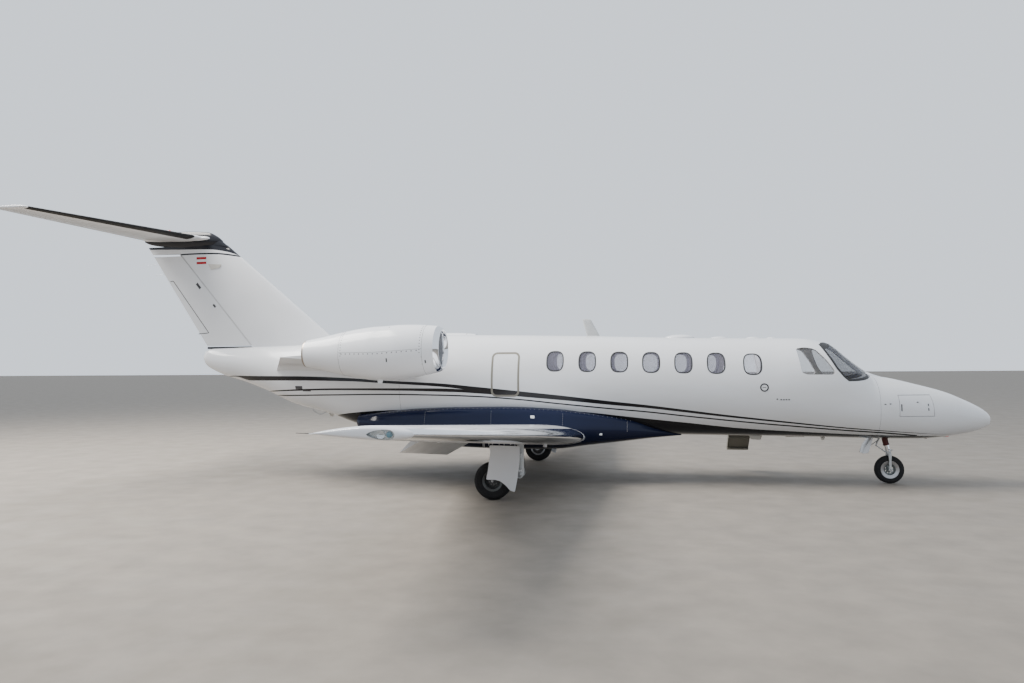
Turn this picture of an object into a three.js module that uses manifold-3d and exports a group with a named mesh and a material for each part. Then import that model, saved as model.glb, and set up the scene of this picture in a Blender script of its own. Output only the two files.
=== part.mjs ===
// A light business jet with a T-tail and two engines on the rear body, standing on its landing gear.
// Millimetres, +X towards the nose, +Y to port, +Z up, origin on the ground under the middle of its box.
import * as THREE from 'three';
import { mergeVertices } from 'three/addons/utils/BufferGeometryUtils.js';
import Module from 'manifold-3d';

const wasm = await Module();
wasm.setup();

// Gap between pieces that touch, and running clearance round the pieces that move
const SEAT = 0.3;
const RUN = 6;
const SIDES = { left: 1, right: -1 };

// Body stations from nose to tail. Columns: x, crown, keel, half width, squareness of the section
const BODY = [
  [7795, 1048, 1032, 8, 2.0],
  [7776, 1116, 985, 62, 2.0],
  [7700, 1200, 930, 140, 2.0],
  [7560, 1290, 873, 235, 2.05],
  [7340, 1400, 820, 335, 2.1],
  [7110, 1500, 783, 415, 2.15],
  [6650, 1633, 742, 540, 2.25],
  [6180, 1746, 740, 640, 2.3],
  [5940, 1780, 744, 685, 2.35],
  [5700, 1970, 748, 722, 2.4],
  [5510, 2140, 751, 748, 2.4],
  [5320, 2300, 756, 770, 2.4],
  [5130, 2360, 758, 785, 2.35],
  [4890, 2400, 760, 800, 2.25],
  [4400, 2412, 764, 815, 2.12],
  [3740, 2420, 768, 815, 2.1],
  [820, 2500, 790, 815, 2.1],
  [-630, 2530, 800, 815, 2.1],
  [-1190, 2540, 805, 812, 2.1],
  [-2000, 2520, 830, 785, 2.1],
  [-2740, 2480, 890, 735, 2.1],
  [-3510, 2430, 1130, 640, 2.1],
  [-4100, 2390, 1275, 535, 2.05],
  [-4730, 2370, 1540, 395, 2.0],
  [-5170, 2358, 1700, 305, 2.0],
  [-5600, 2345, 1825, 235, 2.0],
  [-5850, 2338, 1930, 180, 2.0],
  [-5990, 2300, 2020, 120, 2.0],
  [-6060, 2200, 2130, 35, 2.0],
];
const BODY_SIDES = 24;
const ROOM_SIDES = 16;
const WIDE_LINE_LIMIT = 1560;

// Where the body is split at its real joints
const RADOME_X = 7200;
const NOSE_BULKHEAD_X = 5950;
const REAR_BULKHEAD_X = -1900;
const TAIL_CONE_X = -5500;
const WALL = 70;
const TAIL_WALL = 25;
const FLOOR_Z = 1010;
const FLOOR_THICK = 30;
const SEAT_Y = 370;

// Cabin windows. Columns: x of the middle, z of the middle
const WINDOWS = [[810, 2040], [1350, 2030], [1880, 2020], [2400, 2010], [2920, 2000], [3440, 1990], [4010, 1970]];
const WINDOW = { width: 290, height: 345, squareness: 2.8, points: 12 };
const COCKPIT_WINDOW = [
  [4710, 2220], [4840, 2240], [4960, 2222], [5020, 2190], [5160, 2020], [5265, 1850], [5255, 1795], [4830, 1800],
  [4760, 1830],
];
// Half windscreen seen from the front. Columns: y, z
const WINDSCREEN = [
  [25, 1803], [300, 1793], [500, 1757], [640, 1724], [700, 1712], [790, 1712], [790, 2100], [600, 2160],
  [470, 2225], [300, 2285], [25, 2300],
];
// Room ahead of the windscreen's rear edge, seen from the side. Columns: x, z
const WINDSCREEN_FRONT = [
  [5060, 2320], [5185, 2120], [5320, 1900], [5410, 1770], [5505, 1690], [6200, 1690], [6200, 2320],
];
const EXIT = { x: [-275, 208], z: [1485, 2200], corner: 85 };

// Entry door, port side, turning on an upright line outside the skin at its forward edge
const DOOR = { hinge: [4325, 838], reach: 650, z: [1000, 2210], corner: 150, openAngle: 172 };
const DOOR_KNUCKLES = { z: [1330, 1700], tall: 60, radius: 13 };

// Baggage doors, hinged along their top edges. Columns of each: x range, z range
const NOSE_BAY = { x: [6230, 6760], z: [1130, 1470], wall: 30, back: 130 };
const TAIL_BAY = { x: [-3330, -2700], z: [1290, 1690] };

// Wing stations. Columns: y, leading edge x, trailing edge x, height, thickness
const WING = [
  [560, 1345, -1065, 760, 345],
  [8050, 585, -240, 1416, 112],
  [8130, 470, -160, 1424, 50],
];
const AILERON = { y: [4950, 7450], chordShare: 0.74 };
const FLAP = { y: [1130, 4880], chordShare: 0.77, angle: 35 };
const CAMBER = 0.015;
const EDGE_THICK = 5;
// Length of a hinge boss inside its surface
const BOSS = 60;
const FLAP_BOSS = 18;

// Belly fairing. Columns: x, keel, half width, height of its upper edge
const FAIRING = [
  [2900, 765, 160, 800], [2400, 722, 500, 960], [2030, 680, 700, 1060], [1250, 590, 910, 1180],
  [800, 535, 965, 1230], [0, 525, 990, 1262], [-800, 545, 990, 1255], [-1600, 625, 960, 1225],
  [-2300, 765, 850, 1160], [-2700, 855, 700, 1110],
];

// Fin. Columns: z, leading edge x, trailing edge x, thickness
const FIN = [[2200, -3070, -5880, 215], [4330, -5600, -7279, 125]];
const RUDDER = { foot: [-5050, 2360], head: [-6560, 4140], floor: 2392, ceiling: 4140, headroom: 45, bearing: 14 };
// Bullet where the tailplane crosses the fin. Columns: x, z of the top, z of the bottom, half width
const BULLET = [
  [-5700, 4418, 4400, 8], [-5800, 4500, 4340, 62], [-6000, 4592, 4300, 98], [-6500, 4622, 4290, 112],
  [-6900, 4615, 4330, 92], [-7250, 4560, 4390, 46], [-7360, 4490, 4440, 10],
];
// Tailplane. Columns: y, leading edge x, trailing edge x, height, thickness
const TAILPLANE = [[0, -6010, -7345, 4470, 126], [3110, -7178, -7790, 4488, 58], [3185, -7290, -7795, 4490, 28]];
const ELEVATOR = { y: [175, 2980], chordShare: 0.62 };

// Engine pod round its own axis. Columns: x, height of the axis, outer radius
const ENGINE_Y = 1450;
const POD = [
  [-1015, 2243, 379], [-1340, 2222, 424], [-1710, 2198, 447], [-2030, 2180, 446], [-2270, 2180, 422],
  [-2650, 2182, 356], [-3040, 2182, 272], [-3300, 2182, 226],
];
const LIP = [[-930, 2244, 318], [-945, 2244, 341], [-975, 2243, 361], [-1015, 2243, 379]];
// Way through the pod. Columns: x, height of the axis, radius
const DUCT = [
  [-920, 2244, 306], [-955, 2243, 284], [-1030, 2242, 272], [-1300, 2226, 272], [-1450, 2218, 300],
  [-2700, 2184, 300], [-3310, 2182, 206],
];
const POD_SIDES = 18;
const FAN = { x: [-1340, -1270], z: 2228, radius: 262, hub: 90, tip: -1120, blades: 10, chord: 105, pitch: 38 };
const CORE = { front: -1400, back: -2900, tail: -3240, radius: 190, z: 2190, struts: [-2150, -2030], reach: 330 };
// Pylon. Columns: distance out, leading edge x, trailing edge x, height, thickness
const PYLON = [[380, -1520, -4390, 1880, 190], [1250, -1800, -3880, 2135, 150]];

// Landing gear
const MAIN_WHEEL = { x: 85, y: 2450, radius: 277, width: 188, bead: 130 };
const MAIN_LEG = { x: 490, top: 905, pivotZ: 372, pivotX: 478, radius: 52, armY: 2300 };
const NOSE_WHEEL = { x: 6245, radius: 228.5, width: 108, bead: 102 };
const NOSE_STRUT = { top: [6105, 1080], bottom: [6236, 520], radius: 46 };
const NOSE_WELL = { x: [5975, 6700], halfWidth: 150, top: 1100 };
const GEAR_DOOR = [
  [60, 806], [510, 798], [500, 560], [470, 330], [430, 140], [360, 160], [300, 230], [220, 290], [140, 310], [10, 310],
  [30, 400], [72, 700],
];
// Panel behind the nose leg, hung from the rear edge of its well. Columns: x, z
const NOSE_GEAR_DOOR = [[5952, 770], [5974, 770], [5976, 735], [5900, 505], [5815, 490], [5860, 620], [5945, 735]];
const GEAR_DOOR_Y = [2612, 2626];
const WHEEL_SIDES = 20;

// Paint and metal. Columns: colour, roughness, metalness
const FINISH = {
  white: [0xf2f1ee, 0.25, 0.0],
  navy: [0x141827, 0.3, 0.0],
  chrome: [0xd8dade, 0.12, 1.0],
  metal: [0x8d9096, 0.4, 0.8],
  dark: [0x2a2b2f, 0.6, 0.1],
  rubber: [0x1b1b1c, 0.85, 0.0],
  glass: [0x5d6673, 0.08, 0.0],
  leather: [0xc9b79c, 0.6, 0.0],
  carpet: [0x8b8074, 0.95, 0.0],
};

const aircraft = new THREE.Group();
aircraft.name = 'business_jet';

// Closed solid from any geometry, turned so that its faces point out
function toSolid(source) {
  const bare = new THREE.BufferGeometry();
  bare.setAttribute('position', source.getAttribute('position').clone());
  if (source.index) bare.setIndex(source.index.clone());
  const merged = mergeVertices(bare, 1e-3);
  const points = merged.getAttribute('position').array;
  const faces = [];
  for (let i = 0; i < merged.index.count; i += 3) {
    const [a, b, c] = [merged.index.getX(i), merged.index.getX(i + 1), merged.index.getX(i + 2)];
    if (a !== b && b !== c && c !== a) faces.push([a, b, c]);
  }
  const corner = (i) => new THREE.Vector3(points[3 * i], points[3 * i + 1], points[3 * i + 2]);
  let volume = 0;
  for (const [a, b, c] of faces) volume += corner(a).dot(corner(b).cross(corner(c)));
  const order = volume < 0 ? [0, 2, 1] : [0, 1, 2];
  const triVerts = new Uint32Array(faces.flatMap((face) => order.map((k) => face[k])));
  return new wasm.Manifold(new wasm.Mesh({ numProp: 3, vertProperties: new Float32Array(points), triVerts }));
}

function toGeometry(solid) {
  const mesh = solid.getMesh();
  const geometry = new THREE.BufferGeometry();
  const points = new Float32Array(mesh.numVert * 3);
  for (let i = 0; i < mesh.numVert; i++) {
    for (let k = 0; k < 3; k++) points[3 * i + k] = mesh.vertProperties[mesh.numProp * i + k];
  }
  geometry.setAttribute('position', new THREE.BufferAttribute(points, 3));
  geometry.setIndex(new THREE.BufferAttribute(new Uint32Array(mesh.triVerts), 1));
  geometry.computeVertexNormals();
  return geometry;
}

// Adds a named mesh. With a pivot, the mesh turns in a group that stands at that pivot
function piece(name, solid, finish, pivot = null) {
  const [color, roughness, metalness] = FINISH[finish];
  const geometry = toGeometry(solid);
  const mesh = new THREE.Mesh(geometry, new THREE.MeshStandardMaterial({ color, roughness, metalness }));
  mesh.name = name;
  const place = new THREE.Group();
  if (pivot) {
    geometry.translate(-pivot.point.x, -pivot.point.y, -pivot.point.z);
    place.position.copy(pivot.point);
    place.quaternion.setFromAxisAngle(pivot.axis, THREE.MathUtils.degToRad(pivot.angle));
  }
  place.add(mesh);
  aircraft.add(place);
}

function box(x, y, z) {
  const geometry = new THREE.BoxGeometry(x[1] - x[0], Math.abs(y[1] - y[0]), z[1] - z[0]);
  return toSolid(geometry.translate((x[0] + x[1]) / 2, (y[0] + y[1]) / 2, (z[0] + z[1]) / 2));
}

// Outline drawn in one plane and drawn out along the axis across it
function prism(outline, plane, from, to) {
  const shape = new THREE.Shape(outline.map(([u, v]) => new THREE.Vector2(u, v)));
  const geometry = new THREE.ExtrudeGeometry(shape, { depth: to - from, bevelEnabled: false });
  const at = geometry.getAttribute('position');
  for (let i = 0; i < at.count; i++) {
    const [u, v, w] = [at.getX(i), at.getY(i), at.getZ(i) + from];
    if (plane === 'xz') at.setXYZ(i, u, w, v);
    if (plane === 'yz') at.setXYZ(i, w, u, v);
    if (plane === 'xy') at.setXYZ(i, u, v, w);
  }
  return toSolid(geometry);
}

// Skin over rings with the same number of points, closed by a fan at each end
function loft(rings) {
  const count = rings[0].length;
  const points = rings.flat();
  const faces = [];
  for (let r = 0; r + 1 < rings.length; r++) {
    for (let k = 0; k < count; k++) {
      const [a, b] = [r * count + k, r * count + ((k + 1) % count)];
      faces.push(a, b, b + count, a, b + count, a + count);
    }
  }
  for (const [r, turn] of [[0, true], [rings.length - 1, false]]) {
    const ring = rings[r];
    const middle = [0, 1, 2].map((k) => ring.reduce((sum, p) => sum + p[k], 0) / count);
    points.push(middle);
    for (let k = 0; k < count; k++) {
      const [a, b] = [r * count + k, r * count + ((k + 1) % count)];
      faces.push(points.length - 1, turn ? b : a, turn ? a : b);
    }
  }
  const geometry = new THREE.BufferGeometry();
  geometry.setAttribute('position', new THREE.Float32BufferAttribute(points.flat(), 3));
  geometry.setIndex(faces);
  return toSolid(geometry);
}

function rod(from, to, radius, sides = 12, endRadius = radius) {
  const [a, b] = [new THREE.Vector3(...from), new THREE.Vector3(...to)];
  const way = b.clone().sub(a);
  const geometry = new THREE.CylinderGeometry(endRadius, radius, way.length(), sides);
  const turn = new THREE.Quaternion().setFromUnitVectors(new THREE.Vector3(0, 1, 0), way.clone().normalize());
  geometry.applyQuaternion(turn);
  geometry.translate((a.x + b.x) / 2, (a.y + b.y) / 2, (a.z + b.z) / 2);
  return toSolid(geometry);
}

// Profile of radius and distance along, turned about the x, y or z axis through a centre
function turned(profile, axis, centre, sides) {
  const geometry = new THREE.LatheGeometry(profile.map(([r, a]) => new THREE.Vector2(r, a)), sides);
  const way = new THREE.Vector3(axis === 'x' ? 1 : 0, axis === 'y' ? 1 : 0, axis === 'z' ? 1 : 0);
  geometry.applyQuaternion(new THREE.Quaternion().setFromUnitVectors(new THREE.Vector3(0, 1, 0), way));
  return toSolid(geometry.translate(...centre));
}

function union(solids) {
  return solids.reduce((whole, next) => whole.add(next));
}

// Table row at a value of its first column, between the two rows around it
function between(table, value) {
  const rising = table[table.length - 1][0] > table[0][0];
  let row = 0;
  while (row < table.length - 2 && (rising ? value > table[row + 1][0] : value < table[row + 1][0])) row++;
  const [low, high] = [table[row], table[row + 1]];
  const share = (value - low[0]) / (high[0] - low[0]);
  return low.map((number, k) => number + share * (high[k] - number));
}

function power(value, exponent) {
  return Math.sign(value) * Math.abs(value) ** exponent;
}

// Body

// Height of the widest line, held down where the windscreen cuts the crown away
function wideLine(x, crown, keel) {
  return Math.min((crown + keel) / 2, x > 4400 && x < 5950 ? WIDE_LINE_LIMIT : Infinity);
}

// Half width of the skin at a station and a height
function skinY(x, z) {
  const [, crown, keel, halfWidth, square] = between(BODY, x);
  const wide = wideLine(x, crown, keel);
  const rise = (z - wide) / (z > wide ? crown - wide : wide - keel);
  return halfWidth * (1 - Math.abs(rise) ** square) ** (1 / square);
}

function bodyRing(x, inset, sides) {
  const [, crown, keel, halfWidth, square] = between(BODY, x);
  const wide = wideLine(x, crown, keel);
  const ring = [];
  for (let k = 0; k < sides; k++) {
    const angle = ((k + 0.5) / sides) * 2 * Math.PI;
    const [c, s] = [power(Math.cos(angle), 2 / square), power(Math.sin(angle), 2 / square)];
    ring.push([x, (halfWidth - inset) * c, wide + (s > 0 ? crown - wide - inset : wide - keel - inset) * s]);
  }
  return ring;
}

// Body between two stations, nose end first, drawn in by an inset
function bodyLoft(front, back, inset = 0, sides = BODY_SIDES) {
  const stations = BODY.map((row) => row[0]).filter((x) => x < front - 1 && x > back + 1);
  return loft([front, ...stations, back].map((x) => bodyRing(x, inset, sides)));
}

function ovalOutline(x, z, width, height, square, count) {
  return Array.from({ length: count }, (_, k) => {
    const angle = ((k + 0.5) / count) * 2 * Math.PI;
    const reach = [power(Math.cos(angle), 2 / square), power(Math.sin(angle), 2 / square)];
    return [x + (width / 2) * reach[0], z + (height / 2) * reach[1]];
  });
}

function roundedOutline(x, z, corner, steps = 3) {
  const outline = [];
  const corners = [[x[1], z[1], 0], [x[0], z[1], 1], [x[0], z[0], 2], [x[1], z[0], 3]];
  for (const [cx, cz, quarter] of corners) {
    const [inX, inZ] = [cx === x[1] ? -corner : corner, cz === z[1] ? -corner : corner];
    for (let k = 0; k <= steps; k++) {
      const angle = (quarter + k / steps) * (Math.PI / 2);
      outline.push([cx + inX + corner * Math.cos(angle), cz + inZ + corner * Math.sin(angle)]);
    }
  }
  return outline;
}

// Outline drawn in towards its own middle by about the given distance
function shrunk(outline, distance) {
  const middle = [0, 1].map((k) => outline.reduce((sum, p) => sum + p[k], 0) / outline.length);
  return outline.map(([u, v]) => {
    const far = Math.hypot(u - middle[0], v - middle[1]);
    const keep = (far - distance) / far;
    return [middle[0] + (u - middle[0]) * keep, middle[1] + (v - middle[1]) * keep];
  });
}

const wholeBody = bodyLoft(BODY[0][0], BODY[BODY.length - 1][0]);
const bodyRoom = bodyLoft(BODY[0][0], BODY[BODY.length - 1][0], -SEAT);

// Thin skin between two insets, with its ends open
function skinAt(front, back, outer, inner, sides = BODY_SIDES) {
  return bodyLoft(front, back, outer, sides).subtract(bodyLoft(front + 1, back - 1, inner, sides));
}

function sideCut(outline, side) {
  return side > 0 ? prism(outline, 'xz', 300, 1000) : prism(outline, 'xz', -1000, -300);
}

function windscreenCut(side, shrink = 0) {
  const outline = shrunk(WINDSCREEN, shrink).map(([y, z]) => [side * y, z]);
  const ahead = prism(shrunk(WINDSCREEN_FRONT, shrink), 'xz', -1000, 1000);
  return prism(outline, 'yz', 4900, 6100).intersect(ahead);
}

// Room that the entry door sweeps, turned about its hinge line, drawn in all round by a shrink
function doorSweep(shrink) {
  const { hinge, reach, z, corner } = DOOR;
  const [low, high, far] = [z[0] + shrink, z[1] - shrink, reach - shrink];
  const profile = [[0, low]];
  for (let k = 0; k <= 3; k++) {
    const angle = -Math.PI / 2 + (k / 3) * (Math.PI / 2);
    profile.push([far - corner + corner * Math.cos(angle), low + corner + corner * Math.sin(angle)]);
  }
  for (let k = 0; k <= 3; k++) {
    const angle = (k / 3) * (Math.PI / 2);
    profile.push([far - corner + corner * Math.cos(angle), high - corner + corner * Math.sin(angle)]);
  }
  profile.push([0, high]);
  // A lathe turns about y, so its profile is laid over to stand upright here
  const sweep = turned(profile, 'z', [hinge[0], hinge[1], 0], 36);
  return sweep.intersect(box([hinge[0] - 800, hinge[0] + 5 - shrink], [0, 2000], [500, 2600]));
}

// Stacked hinge knuckle on the door's axis with an arm to the piece that it belongs to
function doorKnuckle(z, reachX, reachY) {
  const { tall, radius } = DOOR_KNUCKLES;
  const [x, y] = DOOR.hinge;
  const barrel = rod([x, y, z], [x, y, z + tall], radius, 8);
  const arm = box([Math.min(x, x + reachX), Math.max(x, x + reachX)], [y - reachY, y], [z, z + tall]);
  return barrel.add(arm);
}

function buildCabin() {
  const room = bodyLoft(NOSE_BULKHEAD_X - WALL, REAR_BULKHEAD_X + WALL, WALL, ROOM_SIDES);
  let shell = bodyLoft(NOSE_BULKHEAD_X - SEAT, REAR_BULKHEAD_X).subtract(room);
  const wall = shell;
  const skin = skinAt(5900, 4600, 5, 24);
  for (const [name, side] of Object.entries(SIDES)) {
    const windows = WINDOWS.filter(([x]) => side < 0 || x < DOOR.hinge[0] - DOOR.reach - 100);
    for (const [x, z] of windows) {
      const outline = ovalOutline(x, z, WINDOW.width, WINDOW.height, WINDOW.squareness, WINDOW.points);
      shell = shell.subtract(sideCut(outline, side));
    }
    shell = shell.subtract(sideCut(COCKPIT_WINDOW, side)).subtract(windscreenCut(side));
    piece(`windshield_${name}`, skin.intersect(windscreenCut(side, 1.5)), 'glass');
    piece(`cockpit_window_${name}`, skin.intersect(sideCut(shrunk(COCKPIT_WINDOW, 1.5), side)), 'glass');

    const [first, last] = [windows[0][0], windows[windows.length - 1][0]];
    const strip = box([first - 190, last + 190], [side > 0 ? 0 : -2000, side > 0 ? 2000 : 0], [1780, 2230]);
    const pane = skinAt(last + 200, first - 200, WALL + SEAT, WALL + 8, ROOM_SIDES).intersect(strip);
    piece(`cabin_glazing_${name}`, pane, 'glass');
  }
  const hatch = roundedOutline(EXIT.x, EXIT.z, EXIT.corner);
  shell = shell.subtract(sideCut(hatch, -1));
  piece('emergency_exit', wall.intersect(sideCut(roundedOutline(
    [EXIT.x[0] + SEAT, EXIT.x[1] - SEAT], [EXIT.z[0] + SEAT, EXIT.z[1] - SEAT], EXIT.corner,
  ), -1)), 'white');

  // The door is the wall inside its own sweep, so that its edges clear the opening at any angle
  shell = shell.subtract(doorSweep(0));
  let door = wall.intersect(doorSweep(RUN));
  for (const z of DOOR_KNUCKLES.z) {
    shell = shell.add(doorKnuckle(z, 30, 60).subtract(room));
    door = door.add(doorKnuckle(z + DOOR_KNUCKLES.tall + SEAT, -30, 60));
  }
  const pivot = {
    point: new THREE.Vector3(DOOR.hinge[0], DOOR.hinge[1], 0),
    axis: new THREE.Vector3(0, 0, -1),
    angle: DOOR.openAngle,
  };
  piece('cabin_shell', shell, 'white');
  piece('entry_door', door, 'white', pivot);

  const floorBox = box([REAR_BULKHEAD_X + WALL + 1, 5350], [-1000, 1000], [FLOOR_Z - FLOOR_THICK, FLOOR_Z]);
  const floorRoom = bodyLoft(NOSE_BULKHEAD_X - WALL - 1, REAR_BULKHEAD_X + WALL + 1, WALL + SEAT, ROOM_SIDES);
  const sill = [DOOR.hinge[0] - DOOR.reach - 20, DOOR.hinge[0] + 20];
  const doorway = box(sill, [0, 1000], [900, 1100]).subtract(bodyLoft(4500, 3500, WALL + RUN, ROOM_SIDES));
  piece('cabin_floor', floorRoom.intersect(floorBox).subtract(doorway), 'carpet');
}

// Frame on the hinge line along the top of a bay's door, just outside the bulge of the skin
function bayHinge(bay, side) {
  const [back, front] = bay.x.map((x) => skinY(x, bay.z[1]));
  const shares = Array.from({ length: 21 }, (_, k) => k / 20);
  const bulge = Math.max(...shares.map((t) => skinY(bay.x[0] + t * (bay.x[1] - bay.x[0]), bay.z[1])
    - back - t * (front - back)));
  const ends = [back, front].map((y, k) => new THREE.Vector3(bay.x[k], side * (y + bulge + 1), bay.z[1]));
  return hingeFrame(ends[0], ends[1], new THREE.Vector3(0, side, 0));
}

// Room of a bay's door, or with a gap the door itself, with its ends square to its hinge
function hatchCut(bay, side, gap) {
  const frame = bayHinge(bay, side);
  const drop = [gap ? SEAT : 0, bay.z[1] - bay.z[0] - gap];
  const across = side > 0 ? drop : [-drop[1], -drop[0]];
  return frameBox(frame, [-420, 200], [gap, frame.length - gap], across);
}

function buildNose() {
  piece('nose_radome', bodyLoft(BODY[0][0], RADOME_X + SEAT), 'white');
  let nose = bodyLoft(RADOME_X, NOSE_BULKHEAD_X);
  const well = box(NOSE_WELL.x, [-NOSE_WELL.halfWidth, NOSE_WELL.halfWidth], [600, NOSE_WELL.top]);
  nose = nose.subtract(well);
  const lining = bodyLoft(RADOME_X, NOSE_BULKHEAD_X, NOSE_BAY.wall);
  for (const [name, side] of Object.entries(SIDES)) {
    const bayY = side > 0 ? [NOSE_BAY.back, 1000] : [-1000, -NOSE_BAY.back];
    const bay = box([NOSE_BAY.x[0] - 20, NOSE_BAY.x[1] + 20], bayY, [NOSE_BAY.z[0] - 20, NOSE_BAY.z[1] + 20]);
    const skin = bodyLoft(RADOME_X, NOSE_BULKHEAD_X).subtract(lining);
    nose = nose.subtract(bay.intersect(lining)).subtract(hatchCut(NOSE_BAY, side, 0));
    piece(`nose_baggage_door_${name}`, skin.intersect(hatchCut(NOSE_BAY, side, RUN)), 'white');
  }
  const pad = rod([6880, 0, 735], [6880, 0, 800], 30);
  piece('nose_section', nose.add(pad), 'white');
}

function buildTail() {
  const front = REAR_BULKHEAD_X - SEAT;
  const shape = bodyLoft(front, TAIL_CONE_X);
  const room = bodyLoft(front - TAIL_WALL, TAIL_CONE_X + TAIL_WALL, TAIL_WALL, ROOM_SIDES);
  let tail = shape.subtract(room);
  const skin = shape.subtract(room);
  tail = tail.subtract(hatchCut(TAIL_BAY, 1, 0));
  piece('tail_section', tail, 'white');
  piece('tail_baggage_door', skin.intersect(hatchCut(TAIL_BAY, 1, RUN)), 'white');
  piece('tail_cone', bodyLoft(TAIL_CONE_X - SEAT, BODY[BODY.length - 1][0]), 'white');
}

function fairingLoft(grow) {
  return loft(FAIRING.map(([x, keel, half, top]) => {
    const [y, low] = [half + grow, keel - grow];
    const shoulder = low + (top - low) * 0.45;
    return [
      [x, 0, low], [x, y * 0.55, low + (top - low) * 0.03], [x, y * 0.86, low + (top - low) * 0.16], [x, y, shoulder],
      [x, y * 0.97, low + (top - low) * 0.75], [x, y * 0.84, top], [x, 0, top],
      [x, -y * 0.84, top], [x, -y * 0.97, low + (top - low) * 0.75], [x, -y, shoulder],
      [x, -y * 0.86, low + (top - low) * 0.16], [x, -y * 0.55, low + (top - low) * 0.03],
    ];
  }));
}

// Aerofoils

// Share of the chord behind the leading edge, from nose to tail
const FOIL_STEPS = [0.012, 0.06, 0.18, 0.38, 0.62, 0.84];

function foilRing(lead, trail, thick, camber, place) {
  const chord = lead - trail;
  const half = (t) => 5 * thick * (0.2969 * Math.sqrt(t) - 0.126 * t - 0.3516 * t ** 2 + 0.2843 * t ** 3
    - 0.1036 * t ** 4);
  const mean = (t) => camber * chord * 4 * t * (1 - t);
  const upper = FOIL_STEPS.map((t) => place(lead - t * chord, mean(t) + half(t)));
  const lower = FOIL_STEPS.map((t) => place(lead - t * chord, mean(t) - half(t)));
  const tail = [place(trail, EDGE_THICK / 2), place(trail, -EDGE_THICK / 2)];
  return [place(lead, 0), ...upper, ...tail, ...lower.reverse()];
}

function wingLoft(stations, side, camber, grow = 0) {
  return loft(stations.map(([y, lead, trail, z, thick]) => foilRing(
    lead + grow, trail - grow, thick + 2 * grow, camber, (x, up) => [x, side * y, z + up],
  )));
}

function finLoft(grow = 0) {
  return loft(FIN.map(([z, lead, trail, thick]) => foilRing(
    lead + grow, trail - grow, thick + 2 * grow, 0, (x, out) => [x, out, z],
  )));
}

// Point on the mean line of a wing or tailplane at a share of its chord, and the half thickness there
function hingePoint(stations, y, share, camber) {
  const [, lead, trail, z, thick] = between(stations, y);
  const t = share;
  const half = 5 * thick * (0.2969 * Math.sqrt(t) - 0.126 * t - 0.3516 * t ** 2 + 0.2843 * t ** 3 - 0.1036 * t ** 4);
  return { x: lead - share * (lead - trail), z: z + camber * (lead - trail) * 4 * t * (1 - t), half };
}

// Frame on a hinge line: y along it from its first end, x ahead of it, z across
function hingeFrame(from, to, ahead = new THREE.Vector3(1, 0, 0)) {
  const along = to.clone().sub(from);
  const length = along.length();
  along.normalize();
  const forward = ahead.clone().addScaledVector(along, -ahead.dot(along)).normalize();
  const across = new THREE.Vector3().crossVectors(forward, along);
  const matrix = new THREE.Matrix4().makeBasis(forward, along, across).setPosition(from);
  return { matrix, length, along };
}

function frameBox(frame, x, y, z) {
  const geometry = new THREE.BoxGeometry(x[1] - x[0], y[1] - y[0], z[1] - z[0]);
  geometry.translate((x[0] + x[1]) / 2, (y[0] + y[1]) / 2, (z[0] + z[1]) / 2);
  return toSolid(geometry.applyMatrix4(frame.matrix));
}

function frameCone(frame, y, radii) {
  const geometry = new THREE.CylinderGeometry(radii[1], radii[0], y[1] - y[0], 16);
  geometry.translate(0, (y[0] + y[1]) / 2, 0);
  return toSolid(geometry.applyMatrix4(frame.matrix));
}

// Cuts a round-nosed surface out of an aerofoil behind a hinge line, and leaves a cove for it
function splitControl(body, frame, radii, reach) {
  const { length } = frame;
  const inner = frameBox(frame, [-reach, 0], [0, length], [-400, 400]).add(frameCone(frame, [0, length], radii));
  const room = frameBox(frame, [-reach, 0], [-RUN, length + RUN], [-400, 400])
    .add(frameCone(frame, [-RUN, length + RUN], radii.map((r) => r + RUN + 1)));
  return [withBosses(body.intersect(inner), frame, 12), body.subtract(room)];
}

// Bosses on the hinge line at both ends of a surface, each seated on the rib beyond it
function withBosses(surface, frame, radius) {
  const reach = RUN - SEAT;
  const [first, last] = [[-reach, BOSS], [frame.length - BOSS, frame.length + reach]];
  return union([surface, frameCone(frame, first, [radius, radius]), frameCone(frame, last, [radius, radius])]);
}

function hingeLine(stations, span, share, camber, side, drop = 0) {
  const ends = span.map((y) => {
    const at = hingePoint(stations, y, share, camber);
    return { point: new THREE.Vector3(at.x, side * y, at.z - drop * at.half), half: at.half };
  });
  return { frame: hingeFrame(ends[0].point, ends[1].point), from: ends[0].point, radii: ends.map((e) => e.half) };
}

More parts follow.
